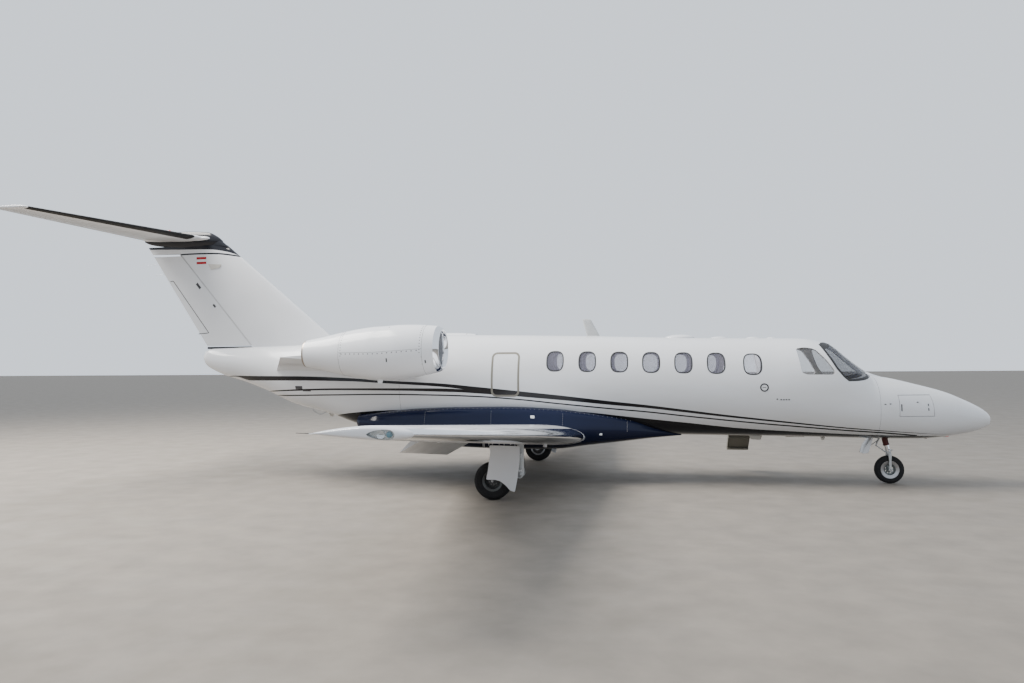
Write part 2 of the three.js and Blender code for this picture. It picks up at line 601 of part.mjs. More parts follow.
function buildWing(name, side, fairing) {
  let wing = wingLoft(WING, side, CAMBER).subtract(fairing).subtract(bodyRoom);

  const aileron = hingeLine(WING, AILERON.y, AILERON.chordShare, CAMBER, side);
  const [aileronSolid, cut] = splitControl(wing, aileron.frame, aileron.radii, 800);
  piece(`aileron_${name}`, aileronSolid, 'white');
  wing = cut;

  // The flap turns down about the lower front edge of its own nose
  const flap = hingeLine(WING, FLAP.y, FLAP.chordShare, CAMBER, side, 1.12);
  const { length } = flap.frame;
  const flapSolid = withBosses(
    wing.intersect(frameBox(flap.frame, [-1200, 0], [0, length], [-400, 400])), flap.frame, FLAP_BOSS,
  );
  wing = wing.subtract(frameBox(flap.frame, [-1200, RUN], [-RUN, length + RUN], [-400, 400]))
    .subtract(frameCone(flap.frame, [-RUN, length + RUN], [FLAP_BOSS + RUN + 1, FLAP_BOSS + RUN + 1]));
  const axis = flap.frame.along.clone().multiplyScalar(-side);
  piece(`flap_${name}`, flapSolid, 'white', { point: flap.from, axis, angle: FLAP.angle });

  // Wheel well and leg slot, open below
  const wheelY = side * (MAIN_WHEEL.y - 670);
  const well = rod([MAIN_WHEEL.x, wheelY, 500], [MAIN_WHEEL.x, wheelY, 905], MAIN_WHEEL.radius + 20, 20);
  const slotY = side > 0 ? [wheelY, MAIN_WHEEL.y + 90] : [-MAIN_WHEEL.y - 90, wheelY];
  const slot = box([MAIN_LEG.x - 130, MAIN_LEG.x + 75], slotY, [500, MAIN_LEG.top + SEAT]);
  wing = wing.subtract(well).subtract(slot);
  const pad = rod([820, side * 2200, 745], [820, side * 2200, 860], 30);
  piece(`wing_${name}`, wing.add(pad), 'white');
}

function buildFin(tailplane) {
  const bullet = loft(BULLET.map(([x, top, bottom, half]) => Array.from({ length: 12 }, (_, k) => {
    const angle = ((k + 0.5) / 12) * 2 * Math.PI;
    return [x, half * Math.cos(angle), (top + bottom) / 2 + ((top - bottom) / 2) * Math.sin(angle)];
  })));
  const whole = finLoft().subtract(bodyRoom);
  const foot = new THREE.Vector3(RUDDER.foot[0], 0, RUDDER.foot[1]);
  const head = new THREE.Vector3(RUDDER.head[0], 0, RUDDER.head[1]);
  const frame = hingeFrame(foot, head);
  const halfAt = (z, x) => {
    const [, lead, trail, thick] = between(FIN, z);
    return hingePoint([[0, lead, trail, 0, thick], [1, lead, trail, 0, thick]], 0, (lead - x) / (lead - trail), 0).half;
  };
  const radii = [halfAt(foot.z, foot.x), halfAt(head.z, head.x)];
  const span = [-900, frame.length + 900];
  const grown = radii.map((r) => r + RUN + 3);
  const behind = frameBox(frame, [-2600, 0], span, [-400, 400]).add(frameCone(frame, [0, frame.length], radii));
  const cove = frameCone(frame, [-150, frame.length + 60], grown);
  const room = frameBox(frame, [-2600, 0], span, [-400, 400]).add(cove);
  const reachX = [-8200, -4000];
  const rudder = whole.intersect(behind).intersect(box(reachX, [-400, 400], [RUDDER.floor, RUDDER.ceiling]));
  const cut = room.intersect(box(reachX, [-400, 400], [2000, RUDDER.ceiling + RUDDER.headroom]));
  // Top bearing of the rudder, ending under the fixed cap
  const rise = frame.along.z;
  const bearing = RUDDER.bearing;
  const top = (RUDDER.ceiling + RUDDER.headroom - SEAT - bearing * Math.sqrt(1 - rise ** 2) - foot.z) / rise;
  piece('rudder', rudder.add(frameCone(frame, [frame.length - BOSS, top], [bearing, bearing])), 'white');
  piece('fin', whole.subtract(cut).add(bullet).subtract(tailplane), 'white');
}

function buildTailplane() {
  let plane = union([wingLoft(TAILPLANE, 1, 0), wingLoft(TAILPLANE, -1, 0)]);
  for (const [name, side] of Object.entries(SIDES)) {
    const hinge = hingeLine(TAILPLANE, ELEVATOR.y, ELEVATOR.chordShare, 0, side);
    const [surface, rest] = splitControl(plane, hinge.frame, hinge.radii, 700);
    piece(`elevator_${name}`, surface, 'white');
    plane = rest;
  }
  piece('stabilizer', plane, 'white');
}

// Engines

function podRings(table, y, grow = 0) {
  return table.map(([x, z, radius]) => Array.from({ length: POD_SIDES }, (_, k) => {
    const angle = ((k + 0.5) / POD_SIDES) * 2 * Math.PI;
    return [x, y + (radius + grow) * Math.cos(angle), z + (radius + grow) * Math.sin(angle)];
  }));
}

function buildEngine(name, side) {
  const y = side * ENGINE_Y;
  const duct = loft(podRings(DUCT, y));
  const pod = loft(podRings(POD, y)).subtract(duct);
  const lipTable = LIP.map(([x, z, r], k) => [k === LIP.length - 1 ? x + SEAT : x, z, r]);
  const lip = loft(podRings(lipTable, y)).subtract(duct);
  piece(`nacelle_${name}`, pod, 'white');
  piece(`inlet_lip_${name}`, lip, 'chrome');

  const { front, back, tail, radius, z, struts, reach } = CORE;
  const core = union([
    rod([front, y, z], [back, y, z], radius, 16),
    rod([back, y, z], [tail, y, z], radius, 16, 60),
    box(struts, [y - reach, y + reach], [z - 30, z + 30]),
    box(struts, [y - 30, y + 30], [z - reach, z + reach]),
  ]).intersect(loft(podRings(DUCT, y, -SEAT)));
  piece(`engine_core_${name}`, core, 'metal');

  const spinner = turned([[0, 0], [45, -30], [FAN.hub, -150], [FAN.hub, -220], [50, -220],
    [50, front - FAN.tip + SEAT], [0, front - FAN.tip + SEAT]], 'x', [FAN.tip, y, FAN.z], 12);
  const middleX = (FAN.x[0] + FAN.x[1]) / 2;
  const blades = Array.from({ length: FAN.blades }, (_, k) => {
    const blade = new THREE.BoxGeometry(FAN.chord, 7, FAN.radius - 70);
    blade.rotateZ(THREE.MathUtils.degToRad(FAN.pitch * side));
    blade.translate(0, 0, 70 + (FAN.radius - 70) / 2 - 4);
    blade.rotateX((k / FAN.blades) * 2 * Math.PI);
    return toSolid(blade.translate(middleX, y, FAN.z));
  });
  piece(`fan_${name}`, union([spinner, ...blades]), 'metal');

  const pylon = loft(PYLON.map(([out, lead, trail, height, thick]) => foilRing(
    lead, trail, thick, 0, (x, up) => [x, side * out, height + up],
  )));
  const podRoom = loft(podRings([[-925, 2244, 345], ...POD], y, SEAT));
  piece(`pylon_${name}`, pylon.subtract(podRoom).subtract(bodyRoom), 'white');
}

// Landing gear

function tyre(wheel) {
  const { radius, width, bead } = wheel;
  const w = width / 2;
  const wall = radius - bead;
  const profile = [[bead, -w * 0.72], [bead + wall * 0.45, -w], [radius - wall * 0.12, -w * 0.8], [radius, -w * 0.42]];
  const mirror = profile.map(([r, a]) => [r, -a]).reverse();
  return turned([...profile, ...mirror, profile[0]], 'y', [0, 0, 0], WHEEL_SIDES);
}

// Wheel centre with a coned web, open round its axle
function rim(wheel, bore) {
  const w = (wheel.width / 2) * 0.72;
  const r = wheel.bead - 2 * SEAT;
  return turned([[bore, -w], [r - 14, -20], [r - 14, -w], [r, -w], [r, w], [r - 14, w], [r - 14, 20], [bore, w],
    [bore, -w]], 'y', [0, 0, 0], WHEEL_SIDES);
}

function placedWheel(solid, x, y, z) {
  return toSolid(toGeometry(solid).translate(x, y, z));
}

function buildMainGear(name, side) {
  const { x, y, radius } = MAIN_WHEEL;
  const axleZ = radius;
  const out = (value) => side * value;
  const { armY, pivotX, pivotZ } = MAIN_LEG;
  const pivotTop = [pivotX, out(armY - 32), pivotZ];
  const leg = union([
    rod([MAIN_LEG.x, out(y), pivotZ - 10], [MAIN_LEG.x, out(y), MAIN_LEG.top], MAIN_LEG.radius, 14),
    rod(pivotTop, [pivotX, out(y + 66), pivotZ], 38, 12),
    rod([pivotX, out(armY - 60), 700], [pivotX, out(y), 760], 26, 10),
    rod([pivotX - 10, out(armY), 700], [300, out(armY), 340], 26, 10),
    box([440, 540], [out(y), out(GEAR_DOOR_Y[0] - SEAT)], [640, 690]),
    box([440, 520], [out(y), out(GEAR_DOOR_Y[0] - SEAT)], [420, 460]),
  ]);
  const arm = union([
    rod([pivotX, out(armY), pivotZ], [x, out(armY), axleZ], 32, 10),
    rod([pivotX, out(armY - 30), pivotZ], [pivotX, out(armY + 30), pivotZ], 54, 14),
    rod([x, out(armY - 30), axleZ], [x, out(armY + 26), axleZ], 48, 14),
    rod([x, out(armY - 30), axleZ], [x, out(y + 92), axleZ], 20, 12),
  ]);
  // The link takes the leg's pivot pin through its own eye, and the damper stands on the link
  const pin = rod([pivotX, out(armY - 60), pivotZ], [pivotX, out(armY + 60), pivotZ], 24, 12);
  const pinRoom = rod([pivotX, out(armY - 70), pivotZ], [pivotX, out(armY + 70), pivotZ], 24.6, 12);
  const damper = rod([pivotX - 10, out(armY), 700], [299.8, out(armY), 339.6], 26.4, 10);
  const eyeRoom = rod([pivotX, out(armY - 34), pivotZ], [pivotX, out(armY + 34), pivotZ], 58, 14);
  piece(`main_leg_${name}`, leg.subtract(eyeRoom).add(pin), 'metal');
  piece(`trailing_link_${name}`, arm.subtract(pinRoom).subtract(damper), 'metal');

  const door = side > 0 ? GEAR_DOOR_Y : [-GEAR_DOOR_Y[1], -GEAR_DOOR_Y[0]];
  piece(`gear_door_${name}`, prism(GEAR_DOOR, 'xz', door[0], door[1]), 'navy');
  piece(`main_tyre_${name}`, placedWheel(tyre(MAIN_WHEEL), x, out(y), axleZ), 'rubber');
  piece(`main_rim_${name}`, placedWheel(rim(MAIN_WHEEL, 20.5), x, out(y), axleZ), 'chrome');
}

function buildNoseGear() {
  const { top, bottom, radius } = NOSE_STRUT;
  const strut = union([
    rod([top[0], 0, top[1]], [bottom[0], 0, bottom[1]], radius, 14),
    box([top[0] - 40, top[0] + 40], [-NOSE_WELL.halfWidth + SEAT, NOSE_WELL.halfWidth - SEAT], [960, 1040]),
  ]);
  piece('nose_strut', strut, 'metal');

  const way = new THREE.Vector3(bottom[0] - top[0], 0, bottom[1] - top[1]).normalize();
  const at = (distance) => [bottom[0] + way.x * distance, 0, bottom[1] + way.z * distance];
  const half = NOSE_WHEEL.width / 2;
  const axle = [NOSE_WHEEL.x, NOSE_WHEEL.radius];
  const arm = (s) => union([
    rod([at(26)[0], s * (half + 28), at(26)[2]], [axle[0], s * (half + 28), axle[1]], 20, 10),
    rod([axle[0], s * (half + 8), axle[1]], [axle[0], s * (half + 54), axle[1]], 30, 12),
  ]);
  const fork = union([
    rod(at(SEAT), at(34), 44, 14),
    rod([at(26)[0], -half - 46, at(26)[2]], [at(26)[0], half + 46, at(26)[2]], 24, 12),
    arm(1),
    arm(-1),
    rod([axle[0], -half - 20, axle[1]], [axle[0], half + 20, axle[1]], 16, 12),
  ]);
  piece('nose_fork', fork, 'metal');
  piece('nose_tyre', placedWheel(tyre(NOSE_WHEEL), axle[0], 0, axle[1]), 'rubber');
  piece('nose_rim', placedWheel(rim(NOSE_WHEEL, 16.5), axle[0], 0, axle[1]), 'chrome');

  piece('nose_gear_door', prism(NOSE_GEAR_DOOR, 'xz', -120, 120).subtract(bodyRoom), 'white');
}

// Interior

function seat(x, y, facing) {
  const base = box([x - 190, x + 190], [y - 85, y + 85], [FLOOR_Z + 30, FLOOR_Z + 230]);
  const cushion = box([x - 240, x + 240], [y - 195, y + 195], [FLOOR_Z + 220, FLOOR_Z + 400]);
  const backX = facing > 0 ? [x - 300, x - 180] : [x + 180, x + 300];
  const back = box(backX, [y - 190, y + 190], [FLOOR_Z + 260, FLOOR_Z + 960]);
  return union([base, cushion, back]);
}

function buildInterior() {
  // Columns: x, facing
  const rows = [[3020, -1], [1750, 1], [720, 1]];
  for (const [name, side] of Object.entries(SIDES)) {
    const y = side * SEAT_Y;
    const rail = box([500, 3260], [y - 30, y + 30], [FLOOR_Z + SEAT, FLOOR_Z + 35]);
    piece(`cabin_seats_${name}`, union([...rows.map(([x, facing]) => seat(x, y, facing)), rail]), 'leather');
  }

  const pilots = [seat(4700, 310, 1), seat(4700, -310, 1)];
  const track = box([4600, 4780], [-400, 400], [FLOOR_Z + SEAT, FLOOR_Z + 35]);
  piece('cockpit_seats', union([...pilots, track]), 'leather');

  const panel = union([
    box([5330, 5390], [-560, 560], [1330, 1700]),
    box([5330, 5560], [-500, 500], [1640, 1700]),
    box([5280, 5390], [-90, 90], [FLOOR_Z + SEAT, 1400]),
  ]);
  piece('instrument_panel', panel, 'dark');
}

// Fold-down steps, hung from the skin below the door sill
function buildAirstair() {
  const [front, back] = [4165, 3790];
  const line = [[560, 985], [720, 985], [1330, 440], [1330, 395], [1230, 395], [620, 930], [560, 930]];
  const sides = [[back, back + 25], [front - 25, front]].map(([a, b]) => prism(line, 'yz', a, b));
  // Columns: y of the front of the tread, z of its top
  const treads = [[800, 850], [1010, 660], [1230, 440]].map(([y, z]) => box([back, front], [y - 90, y + 100],
    [z - 28, z]));
  const underside = prism([[1230, 395], [1238, 406], [628, 941], [620, 930]], 'yz', back, front);
  piece('airstair', union([...sides, ...treads, underside]).subtract(bodyRoom), 'metal');
}

buildNose();
buildCabin();
buildTail();
const fairingRoom = fairingLoft(SEAT);
piece('belly_fairing', fairingLoft(0).subtract(bodyRoom), 'navy');
for (const [name, side] of Object.entries(SIDES)) {
  buildWing(name, side, fairingRoom);
  buildEngine(name, side);
  buildMainGear(name, side);
}
const tailplaneRoom = union([wingLoft(TAILPLANE, 1, 0, SEAT), wingLoft(TAILPLANE, -1, 0, SEAT)]);
buildFin(tailplaneRoom);
buildTailplane();
buildNoseGear();
buildInterior();
buildAirstair();

export default aircraft;
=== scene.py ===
# A light business jet with a T-tail and two rear engines, parked on its gear with its entry door open
import math
import bpy
import bmesh
import numpy as np
from mathutils import Matrix, Vector
from mathutils.bvhtree import BVHTree
from mathutils.geometry import barycentric_transform


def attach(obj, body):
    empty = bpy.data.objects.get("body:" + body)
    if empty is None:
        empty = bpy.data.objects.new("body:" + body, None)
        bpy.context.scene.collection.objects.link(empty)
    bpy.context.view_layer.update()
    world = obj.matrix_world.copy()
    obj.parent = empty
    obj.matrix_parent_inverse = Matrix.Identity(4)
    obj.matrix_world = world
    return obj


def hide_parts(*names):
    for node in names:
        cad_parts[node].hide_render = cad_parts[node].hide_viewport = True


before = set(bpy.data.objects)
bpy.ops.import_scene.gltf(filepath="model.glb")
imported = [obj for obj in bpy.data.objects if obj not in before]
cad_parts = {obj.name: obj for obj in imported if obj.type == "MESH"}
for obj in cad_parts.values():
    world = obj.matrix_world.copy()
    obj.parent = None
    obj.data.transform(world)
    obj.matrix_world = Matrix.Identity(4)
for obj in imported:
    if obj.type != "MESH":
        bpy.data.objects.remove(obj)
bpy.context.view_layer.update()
SIDES = {"left": 1, "right": -1}

# Camera, from a fit to the photograph
CAMERA_PLACE = (2.276, -13.578, 1.891)
YAW, PITCH, ROLL = math.radians(9.71), math.radians(2.15), math.radians(-.30)
FOCAL_MM, SENSOR_MM, FAR_CLIP = 26.97, 36, 500
camera = bpy.data.objects.new("camera", bpy.data.cameras.new("camera"))
bpy.context.collection.objects.link(camera)
camera.data.lens, camera.data.sensor_width, camera.data.clip_end = FOCAL_MM, SENSOR_MM, FAR_CLIP
ahead = Vector((-math.sin(YAW) * math.cos(PITCH), math.cos(YAW) * math.cos(PITCH), math.sin(PITCH)))
right = Vector((math.cos(YAW), math.sin(YAW), 0))
above = right.cross(ahead)
right, above = (right * math.cos(ROLL) + above * math.sin(ROLL), above * math.cos(ROLL)
    - right * math.sin(ROLL))
camera.matrix_world = Matrix.Translation(CAMERA_PLACE) @ Matrix((right, above, -ahead)).transposed().to_4x4()
bpy.context.scene.camera = camera


# Materials
class Shade:
    def __init__(self, name, colour, rough, metal=.0, **more):
        self.mat = bpy.data.materials.new(name)
        self.mat.use_nodes = True
        self.tree = self.mat.node_tree
        self.bsdf = self.tree.nodes["Principled BSDF"]
        self.set(Base_Color=(*colour, 1), Roughness=rough, Metallic=metal, **more)

    def set(self, **values):
        for key, value in values.items():
            self.put(self.bsdf.inputs[key.replace("_", " ")], value)

    def put(self, socket, value):
        if isinstance(value, bpy.types.NodeSocket):
            self.tree.links.new(value, socket)
        else:
            socket.default_value = value

    def node(self, kind, **props):
        made = self.tree.nodes.new("ShaderNode" + kind)
        for key, value in props.items():
            setattr(made, key, value)
        return made

    def math(self, kind, a, b=.0, c=.0, clamp=False):
        made = self.node("Math", operation=kind, use_clamp=clamp)
        for socket, value in zip(made.inputs, (a, b, c)):
            self.put(socket, value)
        return made.outputs[0]

    def mix(self, share, a, b):
        made = self.node("Mix", data_type="RGBA")
        for index, value in ((0, share), (6, a), (7, b)):
            self.put(made.inputs[index], (*value, 1) if isinstance(value, tuple) and len(value) == 3
                else value)
        return made.outputs[2]

    def place(self, stretch=(1, 1, 1)):
        mapping = self.node("Mapping")
        self.put(mapping.inputs[0], self.node("TexCoord").outputs["Object"])
        mapping.inputs["Scale"].default_value = stretch
        return mapping.outputs[0]

    def noise(self, scale, detail=4.0, stretch=(1, 1, 1), rough=.55):
        made = self.node("TexNoise")
        self.put(made.inputs["Vector"], self.place(stretch))
        for key, value in (("Scale", scale), ("Detail", detail), ("Roughness", rough)):
            made.inputs[key].default_value = value
        return made.outputs["Fac"]

    def span(self, value, low, high, to_low=.0, to_high=1.0):
        made = self.node("MapRange", clamp=True)
        for socket, number in zip(made.inputs, (value, low, high, to_low, to_high)):
            self.put(socket, number)
        return made.outputs[0]

    def bump(self, height, distance, strength=1.0):
        made = self.node("Bump")
        made.inputs["Strength"].default_value = strength
        made.inputs["Distance"].default_value = distance
        self.put(made.inputs["Height"], height)
        self.set(Normal=made.outputs[0])

    def over(self, distance):
        """One where a distance is above zero, with a soft edge of 2.5 mm."""
        return self.math("MULTIPLY_ADD", distance, 400, .5, clamp=True)

    def attribute(self, name):
        """The three values that the mesh holds at its points under a name."""
        parts = self.node("SeparateXYZ")
        self.put(parts.inputs[0], self.node("Attribute", attribute_name=name).outputs["Vector"])
        return parts.outputs


def worn(name, colour, rough, metal=.0, tone=.06, grain=18.0, bump=.0004, **more):
    """Plain material with slow colour changes, uneven gloss and a fine relief."""
    shade = Shade(name, colour, rough, metal, **more)
    dark = tuple(c * (1 - 2.5 * tone) for c in colour)
    light = tuple(min(1, c * (1 + tone)) for c in colour)
    patches = shade.noise(2.3, 5)
    shade.set(Base_Color=shade.mix(shade.span(patches, .3, .7), dark, light))
    shade.set(Roughness=shade.span(shade.noise(grain * .4, 4), .25, .75, rough * .8, min(1, rough * 1.25)))
    shade.bump(shade.noise(grain, 3), bump)
    return shade


WHITE = (.72, .73, .755)
BLACK = (.012, .012, .014)
NAVY = (.008, .012, .034)


def painted(name, colour, rough=.16, gloss=.2):
    """Gloss paint over smooth metal."""
    return worn(name, colour, rough, tone=.012, grain=3.2, bump=.0007, Specular_IOR_Level=gloss,
        Coat_Weight=gloss, Coat_Roughness=.1)


LINE_HALF = .0115


def body_paint():
    """White with the dark sweeping stripes, whose edges are held at the skin as distances above them."""
    shade = painted("white_paint_striped", WHITE)
    top, bottom, thin = shade.attribute("edge_a")
    second_top, second_bottom, belly = shade.attribute("edge_b")
    band = shade.math("MULTIPLY", shade.math("SUBTRACT", 1, shade.over(top), clamp=True), shade.over(bottom))
    second = shade.math("MULTIPLY", shade.math("SUBTRACT", 1, shade.over(second_top), clamp=True),
        shade.over(second_bottom))
    line = shade.over(shade.math("SUBTRACT", LINE_HALF, shade.math("ABSOLUTE", thin)))
    under = shade.math("SUBTRACT", 1, shade.over(belly), clamp=True)
    dark = shade.math("MAXIMUM", shade.math("MAXIMUM", band, second), shade.math("MAXIMUM", line, under))
    grime = shade.noise(1.4, 6, (.5, 1, 2.5))
    white = shade.mix(shade.span(grime, .35, .75), WHITE, (.68, .685, .69))
    shade.set(Base_Color=shade.mix(dark, white, BLACK))
    return shade.mat


M = {}
M["body"] = body_paint()
M["white"] = painted("white_paint", WHITE).mat
M["navy"] = painted("navy_paint", NAVY, .12, .12).mat
M["black"] = painted("black_paint", BLACK, .14, .12).mat
M["red"] = painted("red_paint", (.36, .006, .01), .2).mat
M["grey"] = painted("grey_paint", (.36, .37, .39), .25).mat
# Columns: key, name, colour, roughness, metal share, the rest
for key, name, colour, rough, metal, more in (
        ("seal", "black_seal", (.02, .02, .022), .6, 0, dict(grain=60)),
        ("edge", "cut_edge", (.55, .55, .56), .45, .3, dict(grain=30)),
        ("lining", "cabin_lining", (.62, .58, .5), .7, 0, dict(tone=.04, grain=120, bump=.0006)),
        ("carpet", "carpet", (.24, .2, .16), .95, 0, dict(tone=.1, grain=260, bump=.004, Sheen_Weight=.5)),
        ("boot", "deice_boot", (.012, .012, .013), .6, 0, dict(grain=40, bump=.0008, Specular_IOR_Level=.3)),
        ("rubber", "tyre_rubber", (.018, .018, .019), .85, 0, dict(tone=.12, grain=90, bump=.001, Specular_IOR_Level=.25)),
        ("plastic", "dark_plastic", (.03, .03, .033), .5, 0, dict(grain=150, bump=.0005)),
        ("screen", "display", (.006, .009, .014), .1, 0, dict(grain=5, bump=.0, Coat_Weight=.6)),
        ("line", "panel_line", (.045, .045, .05), .7, 0, dict(grain=50, Specular_IOR_Level=.2)),
        ("rivet", "fastener", (.42, .42, .43), .35, .7, dict(grain=80)),
        ("rivet_dark", "fastener_dark", (.06, .06, .065), .5, .2, dict(grain=80)),
        ("steel", "gear_steel", (.42, .42, .43), .32, .85, dict(tone=.08, grain=60)),
        ("gear", "gear_enamel", (.55, .56, .56), .35, .0, dict(tone=.05, grain=40, Coat_Weight=.3)),
        ("beige", "beige_enamel", (.52, .5, .46), .34, .0, dict(tone=.04, grain=20, Coat_Weight=.3)),
        ("brake", "brake_steel", (.16, .15, .15), .5, .8, dict(tone=.15, grain=90)),
        # Nose strut: dark red-brown, made darker as painted shade for the strut in shade under the nose
        ("strut_and_shade", "strut_enamel_and_shade", (.075, .012, .01), .4, 0, dict(grain=50, Specular_IOR_Level=.3)),
        ("rim", "rim_enamel", (.2, .22, .22), .38, .25, dict(tone=.06, grain=40)),
        # Main rims: a darker copy of the rim colour, painted shade for the wheels in shade under the wing
        ("main_rim_shaded", "main_rim_enamel_shaded", (.08, .085, .085), .4, .3, dict(tone=.06, grain=40)),
        ("lamp", "lamp_glass", (.75, .78, .8), .25, 0, dict(grain=60, Emission_Strength=.1)),
        # Stair colour: a dark olive whose darkness is painted shade, as the steps face away from the light
        ("stair", "stair_enamel_painted_shade", (.2, .185, .15), .5, 0, dict(tone=.05, grain=20)),
        ("hose", "hose", (.03, .03, .03), .55, 0, dict(grain=200))):
    M[key] = worn(name, colour, rough, metal, **more).mat


def brushed(name, colour, rough, stretch):
    shade = worn(name, colour, rough, 1.0, tone=.03, grain=14, bump=.00015)
    lines = shade.noise(45, 3, stretch)
    shade.set(Roughness=shade.span(lines, .3, .7, rough * .7, rough * 1.5))
    return shade.mat


M["chrome"] = brushed("polished_metal", (.78, .79, .81), .09, (1, .15, 1))
M["exhaust"] = brushed("exhaust_metal", (.33, .29, .25), .36, (.2, 1, 1))
M["titanium"] = brushed("fan_metal", (.3, .3, .32), .28, (1, 1, .3))


def leather():
    shade = Shade("leather", (.5, .44, .36), .5, Sheen_Weight=.15)
    grain = shade.node("TexVoronoi", feature="DISTANCE_TO_EDGE")
    shade.put(grain.inputs["Vector"], shade.place())
    grain.inputs["Scale"].default_value = 330
    tone = shade.span(shade.noise(6, 5), .3, .7)
    shade.set(Base_Color=shade.mix(tone, (.44, .38, .3), (.56, .5, .42)))
    shade.bump(grain.outputs["Distance"], .0016, .7)
    return shade.mat


def glass(name, colour, alpha, rough=.04):
    shade = Shade(name, colour, rough, Alpha=alpha, Coat_Weight=.2, Coat_Roughness=.03, IOR=1.4)
    tint = shade.noise(3, 2)
    shade.set(Base_Color=shade.mix(tint, tuple(c * .9 for c in colour), colour))
    return shade.mat


M["leather"] = leather()
M["pane"] = glass("cabin_pane", (.42, .41, .5), .16)
M["inner"] = glass("inner_pane", (.36, .35, .45), .12)
M["windshield"] = glass("windshield_glass", (.02, .025, .05), .3, .03)
M["side_glass"] = glass("side_glass", (.3, .31, .34), .14, .03)
M["lens"] = glass("lamp_lens", (.6, .68, .7), .2, .03)
M["red_lens"] = worn("red_lens", (.6, .02, .015), .12, grain=60, Coat_Weight=.6, Emission_Strength=.15).mat
M["green_lens"] = worn("green_lens", (.01, .16, .24), .12, grain=60, Coat_Weight=.6).mat


# Shapes, as points with faces and a material number for each face
class Shape:
    def __init__(self, points, faces, slots=0, carved=False):
        self.carved = carved
        self.v = np.array(points, float).reshape(-1, 3)
        self.f = [tuple(face) for face in faces]
        self.m = [slots] * len(self.f) if isinstance(slots, int) else list(slots)

    def __add__(self, other):
        shift = len(self.v)
        return Shape(np.vstack([self.v, other.v]), self.f + [tuple(i + shift for i in face)
            for face in other.f], self.m + other.m, self.carved and other.carved)

    def __radd__(self, other):
        return self if other == 0 else other + self

    def at(self, matrix):
        m = np.array(matrix)
        faces = self.f if np.linalg.det(m[:3, :3]) > 0 else [face[::-1] for face in self.f]
        return Shape(self.v @ m[:3, :3].T + m[:3, 3], faces, self.m, self.carved)

    def moved(self, x=0, y=0, z=0):
        return Shape(self.v + (x, y, z), self.f, self.m, self.carved)

    def painted(self, slot):
        return Shape(self.v, self.f, slot, self.carved)

    def mirrored(self):
        return Shape(self.v * (1, -1, 1), [face[::-1] for face in self.f], self.m, self.carved)


def shape_of(mesh, slots=0):
    """Shape of a bmesh, which is freed."""
    mesh.verts.index_update()
    shape = Shape([v.co[:] for v in mesh.verts], [[v.index for v in f.verts] for f in mesh.faces], slots)
    mesh.free()
    return shape


def turns(count, first=.0):
    """Angles of a whole turn in even steps."""
    return (np.arange(count) + first) / count * 2 * math.pi


def way_along(line, i):
    """Direction of a line of points at one of them."""
    return line[min(i + 1, len(line) - 1)] - line[max(i - 1, 0)]


def across(way, width):
    """Step of half a width to the side of a direction in a plane."""
    return np.array((-way[1], way[0])) / np.linalg.norm(way) * width / 2


def foil_half(t, thick):
    """Half thickness of an aerofoil at a share of its chord."""
    return 5 * thick * (.2969 * np.sqrt(t) - .126 * t - .3516 * t ** 2 + .2843 * t ** 3 - .1036 * t ** 4)


def powered(angles, square):
    """Cosines and sines drawn out to a rounded square."""
    return [np.sign(t) * np.abs(t) ** (2 / square) for t in (np.cos(angles), np.sin(angles))]


def total(shapes):
    out = 0
    for shape in shapes:
        out += shape
    return out


def on_side(shape, side):
    return shape if side > 0 else shape.mirrored()


def loft(rings, caps=True, slot=0):
    """Skin over rings with the same number of points."""
    count, total = len(rings[0]), len(rings)
    points = np.array(rings, float).reshape(-1, 3)
    faces = []
    for r in range(total - 1):
        for k in range(count):
            a, b = r * count + k, r * count + (k + 1) % count
            faces.append((a, b, b + count, a + count))
    if caps:
        faces.append(tuple(range(count - 1, -1, -1)))
        faces.append(tuple((total - 1) * count + k for k in range(count)))
    return Shape(points, faces, slot)


def lathe(profile, centre, axis="x", sides=48, slot=0, hollow=False):
    """Profile of radius and distance along, turned about an axis. Its ends are closed unless it is hollow."""
    angles = turns(sides)
    rings = []
    for radius, along in profile:
        c, s = max(radius, 1e-5) * np.cos(angles), max(radius, 1e-5) * np.sin(angles)
        a = np.full(sides, along)
        rings.append(np.stack({"x": (a, c, s), "y": (c, a, s), "z": (c, s, a)}[axis], 1) + centre)
    if hollow:
        rings.append(rings[0])
    return loft(rings, not hollow, slot=slot)


def rod(a, b, radius, end=None, sides=28, bevel=.004, slot=0):
    """Round bar between two points with softened ends."""
    a, b = Vector(a), Vector(b)
    end = radius if end is None else end
    length, bevel = (b - a).length, min(bevel, radius * .4, end * .4)
    bar = lathe([(radius - bevel, 0), (radius, bevel), (end, length - bevel), (end - bevel, length)],
        (0, 0, 0), "z", sides, slot)
    turn = Vector((0, 0, 1)).rotation_difference((b - a).normalized()).to_matrix().to_4x4()
    return bar.at(Matrix.Translation(a) @ turn)


def block(x, y, z, bevel=.006, steps=2, slot=0):
    mesh = bmesh.new()
    bmesh.ops.create_cube(mesh, size=1)
    for vert in mesh.verts:
        vert.co = [(lo + hi) / 2 + c * (hi - lo) for c, (lo, hi) in zip(vert.co, (x, y, z))]
    if bevel:
        bmesh.ops.bevel(mesh, geom=mesh.edges[:], offset=bevel, segments=steps, affect="EDGES", profile=.5)
    return shape_of(mesh, slot)


def prism(outline, plane, start, stop, bevel=.0, slot=0):
    """Outline drawn in one plane and drawn out along the axis across it."""
    layers = [(start, bevel), (start + bevel, 0), (stop - bevel, 0), (stop, bevel)] if bevel else [(start, 0),
        (stop, 0)]
    rings = []
    middle = np.mean(outline, 0)
    for w, inset in layers:
        ring = []
        for u, v in outline:
            far = math.hypot(u - middle[0], v - middle[1])
            u, v = (middle[0] + (u - middle[0]) * (1 - inset / far), middle[1] + (v - middle[1]) * (1
                - inset / far))
            ring.append({"xz": (u, w, v), "yz": (w, u, v), "xy": (u, v, w)}[plane])
        rings.append(ring)
    return loft(rings, slot=slot)


